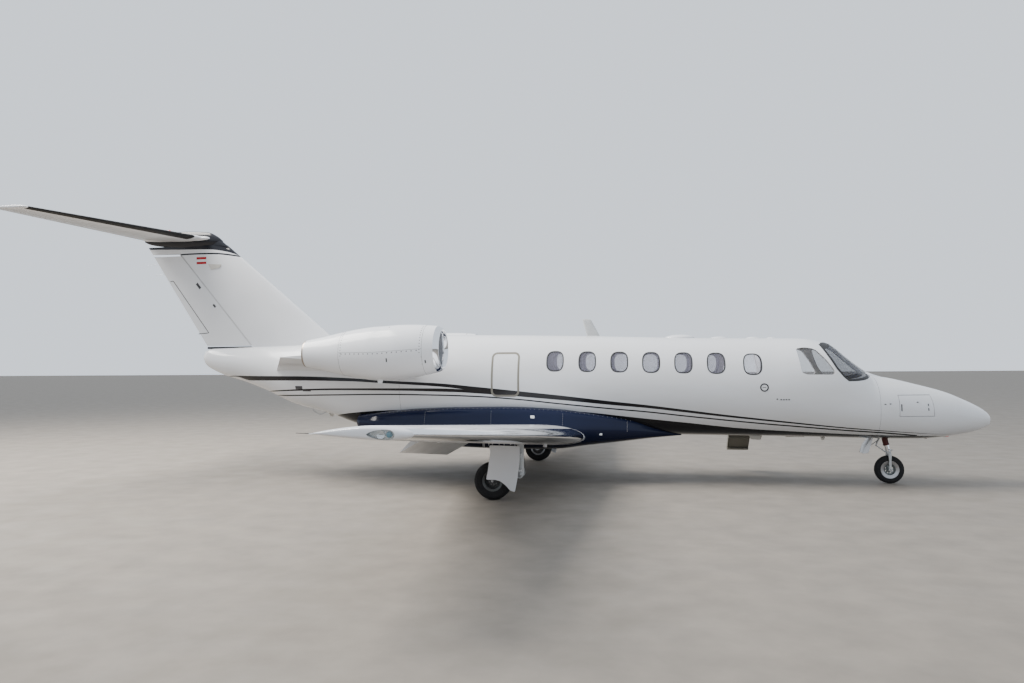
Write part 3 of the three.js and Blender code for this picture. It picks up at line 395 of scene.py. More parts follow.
def smooth_line(points, steps=6):
    points = [np.array(p, float) for p in points]
    ends = [2 * points[0] - points[1]] + points + [2 * points[-1] - points[-2]]
    out = []
    for i in range(1, len(ends) - 2):
        a, b, c, d = ends[i - 1:i + 3]
        for t in np.linspace(0, 1, steps, endpoint=False):
            out.append(.5 * (2 * b + (c - a) * t + (2 * a - 5 * b + 4 * c - d) * t ** 2
                + (3 * b - a - 3 * c + d) * t ** 3))
    return out + [points[-1]]


def pipe(points, radius, sides=10, steps=6):
    line = smooth_line(points, steps) if steps > 1 else [np.array(p, float) for p in points]
    rings, side = [], None
    for i, point in enumerate(line):
        way = Vector(way_along(line, i)).normalized()
        side = (way.orthogonal() if side is None else side - way * side.dot(way)).normalized()
        other = way.cross(side)
        rings.append([point + np.array(side * math.cos(t) + other * math.sin(t)) * radius
            for t in turns(sides)])
    return loft(rings)


def to_object(name, shape, mats):
    mesh = bpy.data.meshes.new(name)
    mesh.from_pydata(shape.v.tolist(), [], shape.f)
    for mat in mats:
        mesh.materials.append(mat)
    mesh.polygons.foreach_set("material_index", np.array(shape.m, np.int32))
    thing = bpy.data.objects.new(name, mesh)
    bpy.context.collection.objects.link(thing)
    return thing


def outward(shape):
    """The same shape with all its faces turned out. A carved one is so already, also inside a hollow."""
    if shape.carved:
        return shape
    mesh = bmesh.new()
    points = [mesh.verts.new(p) for p in shape.v]
    slots = mesh.faces.layers.int.new("slot")
    for face, m in zip(shape.f, shape.m):
        if len(set(face)) > 2:
            mesh.faces.new([points[i] for i in face])[slots] = m
    bmesh.ops.recalc_face_normals(mesh, faces=mesh.faces[:])
    return shape_of(mesh, [f[slots] for f in mesh.faces])


def carve(shape, tools, kind="DIFFERENCE"):
    """Boolean of one solid with others in turn. Faces left by a tool keep the tool's material number."""
    mats = [M["white"]] * 8
    base = to_object("base", outward(shape), mats)
    for tool in tools:
        other = to_object("tool", outward(tool), mats)
        modifier = base.modifiers.new("cut", "BOOLEAN")
        modifier.operation, modifier.object, modifier.solver = kind, other, "EXACT"
        graph = bpy.context.evaluated_depsgraph_get()
        result = bpy.data.meshes.new_from_object(base.evaluated_get(graph))
        base.modifiers.clear()
        base.data = result
        bpy.data.objects.remove(other)
    mesh = base.data
    out = Shape([v.co[:] for v in mesh.vertices], [p.vertices[:] for p in mesh.polygons],
        [p.material_index for p in mesh.polygons], True)
    bpy.data.objects.remove(base)
    return out


SKIN_NEAR, SKIN_SPREAD = .0012, .8


def smoothed(thing, skins):
    """Takes each corner's normal from the true smooth skins that the faces lie on."""
    mesh = thing.data
    found = [None] * len(mesh.vertices)
    for skin in skins:
        guide = to_object("guide", outward(skin), [M["white"]])
        bm = bmesh.new()
        bm.from_mesh(guide.data)
        bmesh.ops.triangulate(bm, faces=bm.faces[:])
        bm.normal_update()
        bm.faces.ensure_lookup_table()
        tree = BVHTree.FromBMesh(bm)
        for i, vert in enumerate(mesh.vertices):
            if found[i] is None:
                spot, _, face, _ = tree.find_nearest(vert.co, SKIN_NEAR)
                if spot is not None:
                    corners = bm.faces[face].verts
                    found[i] = barycentric_transform(spot, *[v.co for v in corners], *[v.normal
                        for v in corners])
        bm.free()
        bpy.data.objects.remove(guide)
    loops = [None] * len(mesh.loops)
    for poly in mesh.polygons:
        for loop in poly.loop_indices:
            n = found[mesh.loops[loop].vertex_index]
            fits = n is not None and n.length > .5 and n.normalized().dot(poly.normal) > SKIN_SPREAD
            loops[loop] = n.normalized() if fits else poly.normal
    mesh.polygons.foreach_set("use_smooth", [True] * len(mesh.polygons))
    mesh.normals_split_custom_set(loops)


def add(name, shape, mats, body="airframe", stands=(), angle=38, skins=None, marks=None):
    """Makes a piece in the row frame, shades it, and lets it ride."""
    mats = [M[m] for m in ([mats] if isinstance(mats, str) else mats)]
    thing = to_object(name, shape if skins else outward(shape), mats)
    mesh = thing.data
    if marks:
        marks(mesh)
    if skins:
        smoothed(thing, skins)
    else:
        mesh.polygons.foreach_set("use_smooth", [True] * len(mesh.polygons))
        mesh.set_sharp_from_angle(angle=math.radians(angle))
    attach(thing, body)
    if stands:
        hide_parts(*stands)
    return thing


def between(table, value):
    """Row of a table at a value of its first column, on straight lines."""
    t = np.array(table, float)
    order = np.argsort(t[:, 0])
    return np.array([np.interp(value, t[order, 0], t[order, k]) for k in range(t.shape[1])])


class Curve:
    """Smooth curves through the columns of a table that never overshoot it."""

    def __init__(self, table):
        t = np.array(sorted(table), float)
        self.x, self.y = t[:, 0], t[:, 1:]
        h = np.diff(self.x)[:, None]
        d = np.diff(self.y, axis=0) / h
        slope = np.zeros_like(self.y)
        slope[0], slope[-1] = d[0], d[-1]
        same = d[:-1] * d[1:] > 0
        w1, w2 = 2 * h[1:] + h[:-1], h[1:] + 2 * h[:-1]
        safe = np.where(same, d[:-1], 1), np.where(same, d[1:], 1)
        slope[1:-1] = np.where(same, (w1 + w2) / (w1 / safe[0] + w2 / safe[1]), 0)
        self.slope = slope

    def __call__(self, value):
        value = np.clip(np.asarray(value, float), self.x[0], self.x[-1])
        i = np.clip(np.searchsorted(self.x, value, side="right") - 1, 0, len(self.x) - 2)
        h = self.x[i + 1] - self.x[i]
        t = ((value - self.x[i]) / h)[..., None]
        h = h[..., None]
        return ((1 + 2 * t) * (1 - t) ** 2 * self.y[i] + t * (1 - t) ** 2 * h * self.slope[i]
            + t * t * (3 - 2 * t) * self.y[i + 1] + t * t * (t - 1) * h * self.slope[i + 1])


# Body. Columns: x, crown, keel, half width, squareness of the section
BODY = Curve([(7.795, 1.048, 1.032, .008, 2.0), (7.776, 1.116, .985, .062, 2.0), (7.7, 1.2, .93, .14, 2.0),
    (7.56, 1.29, .873, .235, 2.05), (7.34, 1.4, .82, .335, 2.1), (7.11, 1.5, .783, .415, 2.15),
    (6.65, 1.633, .742, .54, 2.25), (6.18, 1.746, .74, .64, 2.3), (5.94, 1.78, .744, .685, 2.35),
    (5.7, 1.97, .748, .722, 2.4), (5.51, 2.14, .751, .748, 2.4), (5.32, 2.3, .756, .77, 2.4),
    (5.13, 2.36, .758, .785, 2.35), (4.89, 2.4, .76, .8, 2.25), (4.4, 2.412, .764, .815, 2.12),
    (3.74, 2.42, .768, .815, 2.1), (.82, 2.5, .79, .815, 2.1), (-.63, 2.53, .8, .815, 2.1),
    (-1.19, 2.54, .805, .812, 2.1), (-2.0, 2.52, .83, .785, 2.1), (-2.74, 2.48, .89, .735, 2.1),
    (-3.51, 2.43, 1.13, .64, 2.1), (-4.1, 2.39, 1.275, .535, 2.05), (-4.73, 2.37, 1.54, .395, 2.0),
    (-5.17, 2.358, 1.7, .305, 2.0), (-5.6, 2.345, 1.825, .235, 2.0), (-5.85, 2.338, 1.93, .18, 2.0),
    (-5.99, 2.3, 2.02, .12, 2.0), (-6.06, 2.2, 2.13, .035, 2.0)])
WALL, ROOM_SIDES = .07, 64
FLOOR_Z = 1.01
DOOR_HINGE, DOOR_REACH, DOOR_Z, DOOR_CORNER, DOOR_OPEN = (4.325, .838), .65, (1.0, 2.21), .15, 172
WINDOWS = [(.81, 2.04), (1.35, 2.03), (1.88, 2.02), (2.4, 2.01), (2.92, 2.0), (3.44, 1.99), (4.01, 1.97)]
COCKPIT_WINDOW = [(4.71, 2.22), (4.84, 2.24), (4.96, 2.222), (5.02, 2.19), (5.16, 2.02), (5.265, 1.85),
    (5.255, 1.795), (4.83, 1.8), (4.76, 1.83)]
WINDSCREEN = [(.025, 1.803), (.3, 1.793), (.5, 1.757), (.64, 1.724), (.7, 1.712), (.79, 1.712), (.79, 2.11),
    (.6, 2.18), (.47, 2.245), (.3, 2.3), (.025, 2.312)]
WINDSCREEN_FRONT = [(5.085, 2.35), (5.19, 2.13), (5.31, 1.9), (5.41, 1.77), (5.505, 1.69), (6.2, 1.69),
    (6.2, 2.35)]
EXIT_X, EXIT_Z, EXIT_CORNER = (-.275, .208), (1.485, 2.2), .085
NOSE_BAY = ((6.23, 6.76), (1.13, 1.47))
TAIL_BAY = ((-3.33, -2.7), (1.29, 1.69))
RUN = .006


def section(x):
    crown, keel, half, square = np.moveaxis(BODY(x), -1, 0)
    wide = np.minimum((crown + keel) / 2, np.where(x < 5.95, 1.56 + np.maximum(0, 4.4 - x) * .1, 9))
    return crown, keel, half, square, wide


def skin_y(x, z):
    """Half width of the body at a station and a height."""
    crown, keel, half, square, wide = section(np.asarray(x, float))
    rise = np.where(z > wide, (z - wide) / (crown - wide), (wide - z) / (wide - keel))
    return half * np.maximum(0, 1 - np.minimum(1, rise) ** square) ** (1 / square)


def body_loft(front, back, inset=.0, sides=96, step=.06, slot=0):
    stations = np.linspace(front, back, max(2, int((front - back) / step) + 1))
    angles = turns(sides, .5)
    rings = []
    for x in stations:
        crown, keel, half, square, wide = section(x)
        c, s = powered(angles, square)
        up = np.where(s > 0, crown - wide - inset, wide - keel - inset)
        rings.append(np.stack([np.full(sides, x), (half - inset) * c, wide + up * s], 1))
    return loft(rings, slot=slot)


# Stripe edges on the body's side. Columns: x, z
EDGES = {"top": [(-5.75, 1.79), (-5.29, 1.818), (-4.95, 1.812), (-3.78, 1.803), (-2.84, 1.769),
    (-2.18, 1.725), (-1.16, 1.673), (-.5, 1.611), (.19, 1.541), (.9, 1.468), (1.74, 1.371), (2.3, 1.312),
    (2.99, 1.227), (3.5, 1.162), (4.46, 1.055), (5.4, .957), (6.03, .905), (6.85, .842), (7.3, .82)],
    "bottom": [(-5.75, 1.79), (-5.31, 1.799), (-4.99, 1.726), (-3.79, 1.726), (-2.84, 1.712), (-2.18, 1.677),
    (-1.16, 1.616), (-.82, 1.579), (-.5, 1.53), (.19, 1.451), (.9, 1.39), (1.74, 1.309), (2.3, 1.262),
    (2.99, 1.184), (3.51, 1.124), (4.46, 1.027), (5.41, .937), (6.03, .891), (6.85, .838), (7.3, .82)],
    "thin": [(-4.7, 1.44), (-3.36, 1.467), (-2.13, 1.483), (-1.17, 1.471), (-.5, 1.448), (.18, 1.4),
    (.9, 1.326), (1.74, 1.246), (2.3, 1.198), (3.0, 1.122), (3.51, 1.07), (4.15, 1.008), (4.79, .955),
    (5.41, .905), (5.98, .868), (6.6, .81)], "second_top": [(-5.0, 1.5), (-4.57, 1.535), (-3.9, 1.57),
    (-3.02, 1.589), (-1.89, 1.59), (-1.16, 1.588), (-.82, 1.575), (-.6, 1.555), (-.5, 1.54), (.19, 1.46)],
    "second_bottom": [(-5.0, 1.48), (-4.57, 1.515), (-3.9, 1.54), (-3.02, 1.555), (-1.89, 1.548),
    (-1.16, 1.53), (-.82, 1.52), (-.5, 1.5), (-.13, 1.474), (.19, 1.445)], "belly": [(-3.3, 1.08),
    (-3.02, 1.13), (-2.59, 1.174), (-1.74, 1.219), (-.57, 1.242), (.55, 1.232), (.9, 1.215), (1.32, 1.186),
    (1.91, 1.123), (2.46, 1.064), (3.0, 1.01), (3.29, .978), (3.84, .922), (4.77, .868), (5.74, .827),
    (6.31, .812), (6.95, .8), (7.2, .76)]}
EDGE_CURVES = {name: Curve(table) for name, table in EDGES.items()}


def points_of(mesh):
    co = np.zeros(len(mesh.vertices) * 3)
    mesh.vertices.foreach_get("co", co)
    return co.reshape(-1, 3).T


def hold(mesh, name, values):
    """Keeps three rows of values at the mesh's points for its material."""
    layer = mesh.attributes.new(name, "FLOAT_VECTOR", "POINT")
    layer.data.foreach_set("vector", np.stack(values, 1).astype(np.float32).ravel())


def stripes(mesh):
    """Writes each point's height above the stripe edges, before a door is swung open."""
    x, _, z = points_of(mesh)
    gap = {name: z - curve(x)[:, 0] for name, curve in EDGE_CURVES.items()}
    gap["belly"] += (x < -3.3) * 1.0 + (x > 7.2) * 1.0
    gap["thin"] += (x > 6.6) * 1.0
    gap["second_top"] += (x > .19) * 1.0
    hold(mesh, "edge_a", [gap[k] for k in ("top", "bottom", "thin")])
    hold(mesh, "edge_b", [gap[k] for k in ("second_top", "second_bottom", "belly")])


def oval(x, z, width, height, square=2.8, count=40):
    return [(x + width / 2 * u, z + height / 2 * v) for u, v in zip(*powered(turns(count, .5), square))]


def rounded(x, z, corner, steps=7):
    out = []
    for cx, cz, quarter in ((x[1], z[1], 0), (x[0], z[1], 1), (x[0], z[0], 2), (x[1], z[0], 3)):
        inner = (cx + (-corner if cx == x[1] else corner), cz + (-corner if cz == z[1] else corner))
        for k in range(steps):
            t = (quarter + k / (steps - 1)) * math.pi / 2
            out.append((inner[0] + corner * math.cos(t), inner[1] + corner * math.sin(t)))
    return out


def soft_corners(outline, radius):
    """Outline with each corner rounded off."""
    out, count = [], len(outline)
    pts = [np.array(p, float) for p in outline]
    for i, p in enumerate(pts):
        a, b = pts[i - 1] - p, pts[(i + 1) % count] - p
        r = min(radius, np.linalg.norm(a) * .45, np.linalg.norm(b) * .45)
        start, stop = p + a / np.linalg.norm(a) * r, p + b / np.linalg.norm(b) * r
        for t in np.linspace(0, 1, 5):
            out.append(tuple((1 - t) ** 2 * start + 2 * t * (1 - t) * p + t * t * stop))
    return out


def shrunk(outline, distance):
    """Outline drawn in along its own normals."""
    pts = np.array(outline)
    nxt, prv = np.roll(pts, -1, 0), np.roll(pts, 1, 0)
    area = .5 * np.sum(pts[:, 0] * nxt[:, 1] - nxt[:, 0] * pts[:, 1])
    way = nxt - prv
    normal = np.stack([way[:, 1], -way[:, 0]], 1) / np.linalg.norm(way, axis=1)[:, None]
    return [tuple(p) for p in pts - np.sign(area) * normal * distance]


def span_of(side, low, high):
    """A range on the left side of the body, or its mirror image."""
    return (low, high) if side > 0 else (-high, -low)


def side_cut(outline, side):
    return prism(outline, "xz", *span_of(side, .3, 1.0), slot=1)


def screen_cut(side, shrink=.0):
    front = shrunk(soft_corners(WINDSCREEN, .04), shrink)
    ahead_of = shrunk(soft_corners(WINDSCREEN_FRONT, .03), shrink)
    return carve(prism([(side * y, z) for y, z in front], "yz", 4.9, 6.1, slot=1),
        [prism(ahead_of, "xz", -1.0, 1.0, slot=1)], "INTERSECT")


def door_sweep(shrink):
    low, high, far = DOOR_Z[0] + shrink, DOOR_Z[1] - shrink, DOOR_REACH - shrink
    quarter = [(math.sin(t), math.cos(t)) for t in np.linspace(0, math.pi / 2, 8)]
    inner, corner = far - DOOR_CORNER, DOOR_CORNER
    profile = [(0, low)] + [(inner + corner * s, low + corner - corner * c) for s, c in quarter]
    profile += [(inner + corner * c, high - corner + corner * s) for s, c in quarter] + [(0, high)]
    x, y = DOOR_HINGE
    ahead_of = block((x - .8, x + .005 - shrink), (0, 2), (.5, 2.6), 0, slot=1)
    return carve(lathe(profile, (x, y, 0), "z", 96, 1), [ahead_of], "INTERSECT")


def swung(point, axis, degrees):
    turn = Matrix.Rotation(math.radians(degrees), 4, Vector(axis))
    return Matrix.Translation(point) @ turn @ Matrix.Translation(-Vector(point))


def bay_frame(bay, side):
    """Hinge line along the top of a bay's door, and axes along it, ahead and across."""
    (x0, x1), (_, z1) = bay
    y0, y1 = float(skin_y(x0, z1)), float(skin_y(x1, z1))
    t = np.linspace(0, 1, 21)
    bulge = float(np.max(skin_y(x0 + t * (x1 - x0), z1) - y0 - t * (y1 - y0)))
    a, b = [Vector((x, side * (y + bulge + .001), z1)) for x, y in ((x0, y0), (x1, y1))]
    along = (b - a).normalized()
    out = Vector((0, side, 0))
    out = (out - along * out.dot(along)).normalized()
    return a, along, out, out.cross(along), (b - a).length


def hatch_cut(bay, side, gap):
    a, along, out, across_it, length = bay_frame(bay, side)
    drop = (.007 if gap else 0, bay[1][1] - bay[1][0] - gap)
    axes = Matrix((out, along, across_it)).transposed().to_4x4()
    box = block((-.42, .2), (gap, length - gap), span_of(side, *drop), 0, slot=1)
    return box.at(Matrix.Translation(a) @ axes)


WHOLE = body_loft(7.795, -6.06)


def build_body():
    add("nose_radome_skin", body_loft(7.795, 7.2005, step=.02), "body", stands=["nose_radome"],
        angle=80, marks=stripes)
    nose = body_loft(7.2, 5.95)
    well = block((5.975, 6.7), (-.15, .15), (.6, 1.1), 0, slot=2)
    tools = [well]
    lining = body_loft(7.2, 5.95, .03, slot=2)
    for side in SIDES.values():
        bay = block((6.21, 6.78), span_of(side, .13, 1), (1.11, 1.49), 0, slot=2)
        tools += [carve(bay, [lining], "INTERSECT"), hatch_cut(NOSE_BAY, side, 0)]
    nose = carve(nose, tools)
    add("nose_skin", nose, ["body", "edge", "grey"], stands=["nose_section"],
        skins=[WHOLE], marks=stripes)
    wall = carve(body_loft(7.2, 5.95), [lining])
    for name, side in SIDES.items():
        door = carve(wall, [hatch_cut(NOSE_BAY, side, RUN)], "INTERSECT")
        add(f"nose_baggage_door_skin_{name}", door, ["body", "edge", "edge"], f"nose_baggage_door_{name}",
            [f"nose_baggage_door_{name}"], skins=[WHOLE], marks=stripes)

    room = body_loft(5.95 - WALL, -1.9 + WALL, WALL, ROOM_SIDES, .12, slot=2)
    shell = carve(body_loft(5.9497, -1.9), [room])
    wall = shell
    tools = []
    for side in SIDES.values():
        tools += [side_cut(oval(x, z, .29, .345), side) for x, z in windows_of(side)]
        tools += [side_cut(soft_corners(COCKPIT_WINDOW, .04), side), screen_cut(side)]
    shell = carve(shell, [total(tools), side_cut(rounded(EXIT_X, EXIT_Z, EXIT_CORNER), -1), door_sweep(0)])
    add("cabin_skin", shell, ["body", "edge", "lining"], stands=["cabin_shell"],
        skins=[WHOLE, room], marks=stripes)
    hatch = carve(wall, [side_cut(rounded([EXIT_X[0] + .0003, EXIT_X[1] - .0003],
        [EXIT_Z[0] + .0003, EXIT_Z[1] - .0003], EXIT_CORNER), -1)], "INTERSECT")
    add("emergency_exit_skin", hatch, ["body", "edge", "lining"], stands=["emergency_exit"],
        skins=[WHOLE], marks=stripes)
    over_floor = carve(body_loft(4.6, 3.4, WALL - .007), [block((3.3, 4.7), (-1, 1), (.99, 1.03), 0)],
        "INTERSECT")
    door = carve(carve(wall, [door_sweep(RUN)], "INTERSECT"), [over_floor])
    thing = add("entry_door_skin", door, ["body", "edge", "lining"], "entry_door", ["entry_door"],
        skins=[WHOLE, room], marks=stripes)
    thing.data.transform(swung((*DOOR_HINGE, 0), (0, 0, -1), DOOR_OPEN))

    room = body_loft(-1.9253, -5.475, .025, ROOM_SIDES, .12, slot=2)
    wall = carve(body_loft(-1.9003, -5.5), [room])
    tail = carve(wall, [hatch_cut(TAIL_BAY, 1, 0)])
    add("tail_skin", tail, ["body", "edge", "grey"], stands=["tail_section"],
        skins=[WHOLE], marks=stripes)
    door = carve(wall, [hatch_cut(TAIL_BAY, 1, RUN)], "INTERSECT")
    add("tail_baggage_door_skin", door, ["body", "edge", "grey"], "tail_baggage_door", ["tail_baggage_door"],
        skins=[WHOLE], marks=stripes)
    add("tail_cone_skin", body_loft(-5.5003, -6.06, step=.025), "body", stands=["tail_cone"],
        angle=80, marks=stripes)


def windows_of(side):
    return [w for w in WINDOWS if side < 0 or w[0] < DOOR_HINGE[0] - DOOR_REACH - .1]


build_body()

# Aerofoils
def foil_ring(lead, trail, thick, camber, place):
    chord = lead - trail
    t = (1 - np.cos(np.linspace(0, math.pi, 22))) / 2
    half = np.maximum(foil_half(t, thick), np.where(t > .5, .0025, 0))
    mean = camber * chord * 4 * t * (1 - t)
    ring = [place(lead - u * chord, m + h) for u, m, h in zip(t, mean, half)]
    return ring + [place(lead - u * chord, m - h) for u, m, h in list(zip(t, mean, half))[:0:-1]]


def span_rows(table, start, stop, steps):
    """Rows of a table along the span, with its last two rows rounded off as a tip."""
    rows = [between(table, v) for v in np.linspace(start, stop, steps)]
    a, b = between(table, stop), np.array(table[-1], float)
    for t in np.linspace(0, math.pi / 2, 6)[1:]:
        row = a + (b - a) * (1 - math.cos(t))
        row[0] = a[0] + (b[0] - a[0]) * math.sin(t)
        rows.append(row)
    return rows


def foil_loft(rows, side, camber):
    return loft([foil_ring(lead, trail, thick, camber, lambda x, up: (x, side * y, z + up)) for y, lead,
        trail, z, thick in rows])


def paint_nose(shape, share, slot, rows, start=-9.0, stop=9.0):
    """Gives the leading edge of a foil its own material, up to a share of the chord."""
    table = sorted([tuple(r) for r in rows])
    for i, face in enumerate(shape.f):
        middle = shape.v[list(face)].mean(0)
        _, lead, trail = between(table, abs(middle[1]))[:3]
        if middle[0] > lead - share * (lead - trail) and start < abs(middle[1]) < stop and len(face) < 6:
            shape.m[i] = slot
    return shape


WING = [(.56, 1.345, -1.065, .76, .345), (8.05, .585, -.24, 1.416, .112), (8.13, .47, -.16, 1.424, .05)]
TAILPLANE = [(0, -6.01, -7.345, 4.47, .126), (3.11, -7.178, -7.79, 4.488, .058),
    (3.185, -7.29, -7.795, 4.49, .028)]
FIN = [(2.2, -3.07, -5.88, .215), (4.33, -5.6, -7.279, .125)]
CAMBER, FLAPS_DOWN, WELL_Y = .015, 35, 1.78


def hinge(table, span, share, camber, side, drop=.0):
    """Hinge line of a control: its start, axes along, ahead and across, length and end radii."""
    points, radii = [], []
    for y in span:
        _, lead, trail, z, thick = between(table, y)
        half = foil_half(share, thick)
        points.append(Vector((lead - share * (lead - trail), side * y, z + camber * (lead
            - trail) * 4 * share * (1 - share) - drop * half)))
        radii.append(half)
    return hinge_axes(*points, radii)


def hinge_axes(a, b, radii):
    along = (b - a).normalized()
    forward = Vector((1, 0, 0))
    forward = (forward - along * forward.dot(along)).normalized()
    return a, along, forward, forward.cross(along), (b - a).length, radii


def in_frame(h, shape):
    a, along, forward, across = h[:4]
    return shape.at(Matrix.Translation(a) @ Matrix((forward, along, across)).transposed().to_4x4())


def frame_cone(h, y, radii, slot=2):
    return in_frame(h, lathe([(radii[0], y[0]), (radii[1], y[1])], (0, 0, 0), "y", 32, slot))


def hinge_tool(h, reach, y, radii):
    """Everything behind a hinge line, with a round nose along the line."""
    rings = [[(-reach, v, -.4), (0, v, -.4)] + [(r * math.sin(t), v, -r * math.cos(t))
        for t in np.linspace(0, math.pi, 17)] + [(0, v, .4), (-reach, v, .4)] for v, r in zip(y, radii)]
    return in_frame(h, loft(rings, slot=2))


def split_control(body, h, reach):
    length, radii = h[4], h[5]
    inner = hinge_tool(h, reach, (0, length), radii)
    room = hinge_tool(h, reach, (-RUN, length + RUN), [r + RUN + .001 for r in radii])
    return carve(body, [inner], "INTERSECT"), carve(body, [room])


def bosses(h, radius):
    reach, length = RUN - .0003, h[4]
    return (frame_cone(h, (-reach, .06), (radius, radius), 3) + frame_cone(h, (length - .06, length + reach),
        (radius, radius), 3))


TIP_LAMP = soft_corners([(.228, 1.42), (.3, 1.45), (.38, 1.46), (.44, 1.453), (.468, 1.418), (.44, 1.383),
    (.38, 1.376), (.3, 1.39)], .03)


def build_wing(name, side):
    rows = span_rows(WING, .56, 8.05, 18)
    full = paint_nose(foil_loft(rows, side, CAMBER), .085, 1, rows, 1.0, 8.02)
    aileron = hinge(WING, (4.95, 7.45), .74, CAMBER, side)
    surface, wing = split_control(full, aileron, .8)
    mats = ["white", "chrome", "edge", "steel", "plastic"]
    add(f"aileron_skin_{name}", surface + bosses(aileron, .012), mats, f"aileron_{name}", [f"aileron_{name}"],
        skins=[full])
    flap = hinge(WING, (1.13, 4.88), .77, CAMBER, side, 1.12)
    length = flap[4]
    panel = carve(wing, [in_frame(flap, block((-1.2, 0), (0, length), (-.4, .4), 0, slot=2))], "INTERSECT")
    room = in_frame(flap, block((-1.2, RUN), (-RUN, length + RUN), (-.4, .4), 0, slot=2))
    wing = carve(wing, [room, frame_cone(flap, (-RUN, length + RUN), (.025, .025))])
    thing = add(f"flap_skin_{name}", panel + bosses(flap, .018), mats, f"flap_{name}", [f"flap_{name}"],
        skins=[full])
    thing.data.transform(swung(flap[0], -side * flap[1], FLAPS_DOWN))

    y = side * WELL_Y
    well = rod((.085, y, .5), (.085, y, .905), .297, sides=64, bevel=0, slot=2)
    slot_y = span_of(side, WELL_Y, 2.54)
    wing = carve(wing, [on_side(prism(TIP_LAMP, "xz", 8.086, 8.3, slot=4), side)])
    wing = carve(wing, [well, block((.36, .565), slot_y, (.5, .9053), 0, slot=2)])
    add(f"wing_skin_{name}", wing + rod((.82, side * 2.2, .745), (.82, side * 2.2, .8), .03, slot=3), mats,
        stands=[f"wing_{name}"], skins=[full])

    # Flap tracks, tip lamp and static wicks
    tracks = 0
    for y in (1.75, 3.0, 4.3):
        _, lead, trail, z, _ = between(WING, y)
        x = trail + .27 * (lead - trail)
        hull = soft_corners([(.2, .0), (.1, -.035), (-.05, -.05), (-.02, .0), (.05, .02)], .03)
        tracks += prism([(x + u, z - .045 + v) for u, v in hull], "xz", y - .016, y + .016, .004)
    add(f"flap_tracks_{name}", on_side(tracks, side), "white")
    cover = carve(full, [on_side(prism(shrunk(TIP_LAMP, .0015), "xz", 8.1, 8.3), side)], "INTERSECT")
    add(f"tip_lamp_cover_{name}", cover.painted(0), "lens", skins=[full])
    dish = prism(shrunk(TIP_LAMP, .0005), "xz", 8.0865, 8.0905, 0)
    dish += lathe([(.036, 8.0905), (.034, 8.1), (.026, 8.0945), (.012, 8.092)], (.345, 0, 1.419), "y", 24)
    bulb = lathe([(.001, 8.112), (.012, 8.111), (.022, 8.104), (.026, 8.0905)], (.41, 0, 1.419), "y", 24)
    add(f"tip_lamp_{name}", on_side(dish, side), "chrome", angle=40)
    add(f"tip_bulb_{name}", on_side(bulb, side), "red_lens" if side > 0 else "green_lens",
        angle=60)
    wicks = 0
    for table, y, back, rise in ((WING, 7.55, .13, .004), (WING, 7.8, .13, .004), (WING, 8.0, .13, .004),
            (TAILPLANE, 3.02, .004, 0)):
        _, _, trail, z, _ = between(table, y)
        wicks += pipe([(trail + .01, y, z), (trail - back, y, z + rise)], .0025, 6, 1)
    add(f"static_wicks_{name}", on_side(wicks, side), "plastic")


FAIRING = Curve([(2.9, .765, .16, .8), (2.4, .722, .5, .96), (2.03, .68, .7, 1.06), (1.25, .59, .91, 1.18),
    (.8, .535, .965, 1.23), (0, .525, .99, 1.262), (-.8, .545, .99, 1.255), (-1.6, .625, .96, 1.225),
    (-2.3, .765, .85, 1.16), (-2.7, .855, .7, 1.11)])


def fairing_line(x):
    """Left half of the belly fairing's section at x, from its keel to its top."""
    low, y, top = FAIRING(x)
    high = top - low
    half = [(0, low), (y * .55, low + high * .03), (y * .86, low + high * .16), (y, low + high * .45),
        (y * .97, low + high * .75), (y * .84, top), (y * .3, top + .02)]
    return smooth_line([(-half[1][0], half[1][1], 0)] + [(u, v, 0) for u, v in half], 5)[5:]


def fairing_y(x, z):
    line = np.array(fairing_line(x))
    order = np.argsort(line[:, 1])
    return float(np.interp(z, line[order, 1], line[order, 0]))


def build_fairing():
    rings = []
    for x in np.linspace(2.9, -2.7, 80):
        line = fairing_line(x)
        line += [np.array((-p[0], p[1], 0)) for p in line[:0:-1]]
        rings.append([(x, p[0], p[1]) for p in line])
    add("belly_fairing_skin", loft(rings), "navy", stands=["belly_fairing"], angle=70)


# Fin paint edges. Columns: x, z of the dark cap's lower edge and of the thin line
CAP_EDGE = Curve([(-7.4, 4.296), (-7.231, 4.291), (-6.567, 4.266), (-5.897, 4.245), (-5.557, 4.188),
    (-5.3, 4.1)])
LINE_EDGE = Curve([(-7.4, 4.142), (-7.113, 4.15), (-6.672, 4.166), (-6.26, 4.173), (-5.806, 4.165),
    (-5.3, 4.1)])


def fin_edges(mesh):
    x, _, z = points_of(mesh)
    hold(mesh, "edge_a", [z - CAP_EDGE(x)[:, 0], z - LINE_EDGE(x)[:, 0], x * 0])


FIN_LINE_HALF = .015


def fin_paint():
    shade = painted("white_paint_cap", WHITE)
    cap, line, _ = shade.attribute("edge_a")
    over = shade.over(cap)
    thin = shade.over(shade.math("SUBTRACT", FIN_LINE_HALF, shade.math("ABSOLUTE", line)))
    white = shade.mix(shade.span(shade.noise(1.6, 5), .35, .75), WHITE, (.68, .69, .71))
    shade.set(Base_Color=shade.mix(shade.math("MAXIMUM", over, thin), white, (.016, .017, .022)))
    return shade.mat


M["fin"] = fin_paint()
BULLET = Curve([(-5.7, 4.418, 4.4, .008), (-5.8, 4.5, 4.34, .062), (-6.0, 4.592, 4.3, .098),
    (-6.5, 4.622, 4.29, .112), (-6.9, 4.615, 4.33, .092), (-7.25, 4.56, 4.39, .046),
    (-7.36, 4.49, 4.44, .01)])


def fin_half(x, z):
    _, lead, trail, thick = between(FIN, z)
    t = min(1, max(0, (lead - x) / (lead - trail)))
    return max(.0025, foil_half(t, thick))


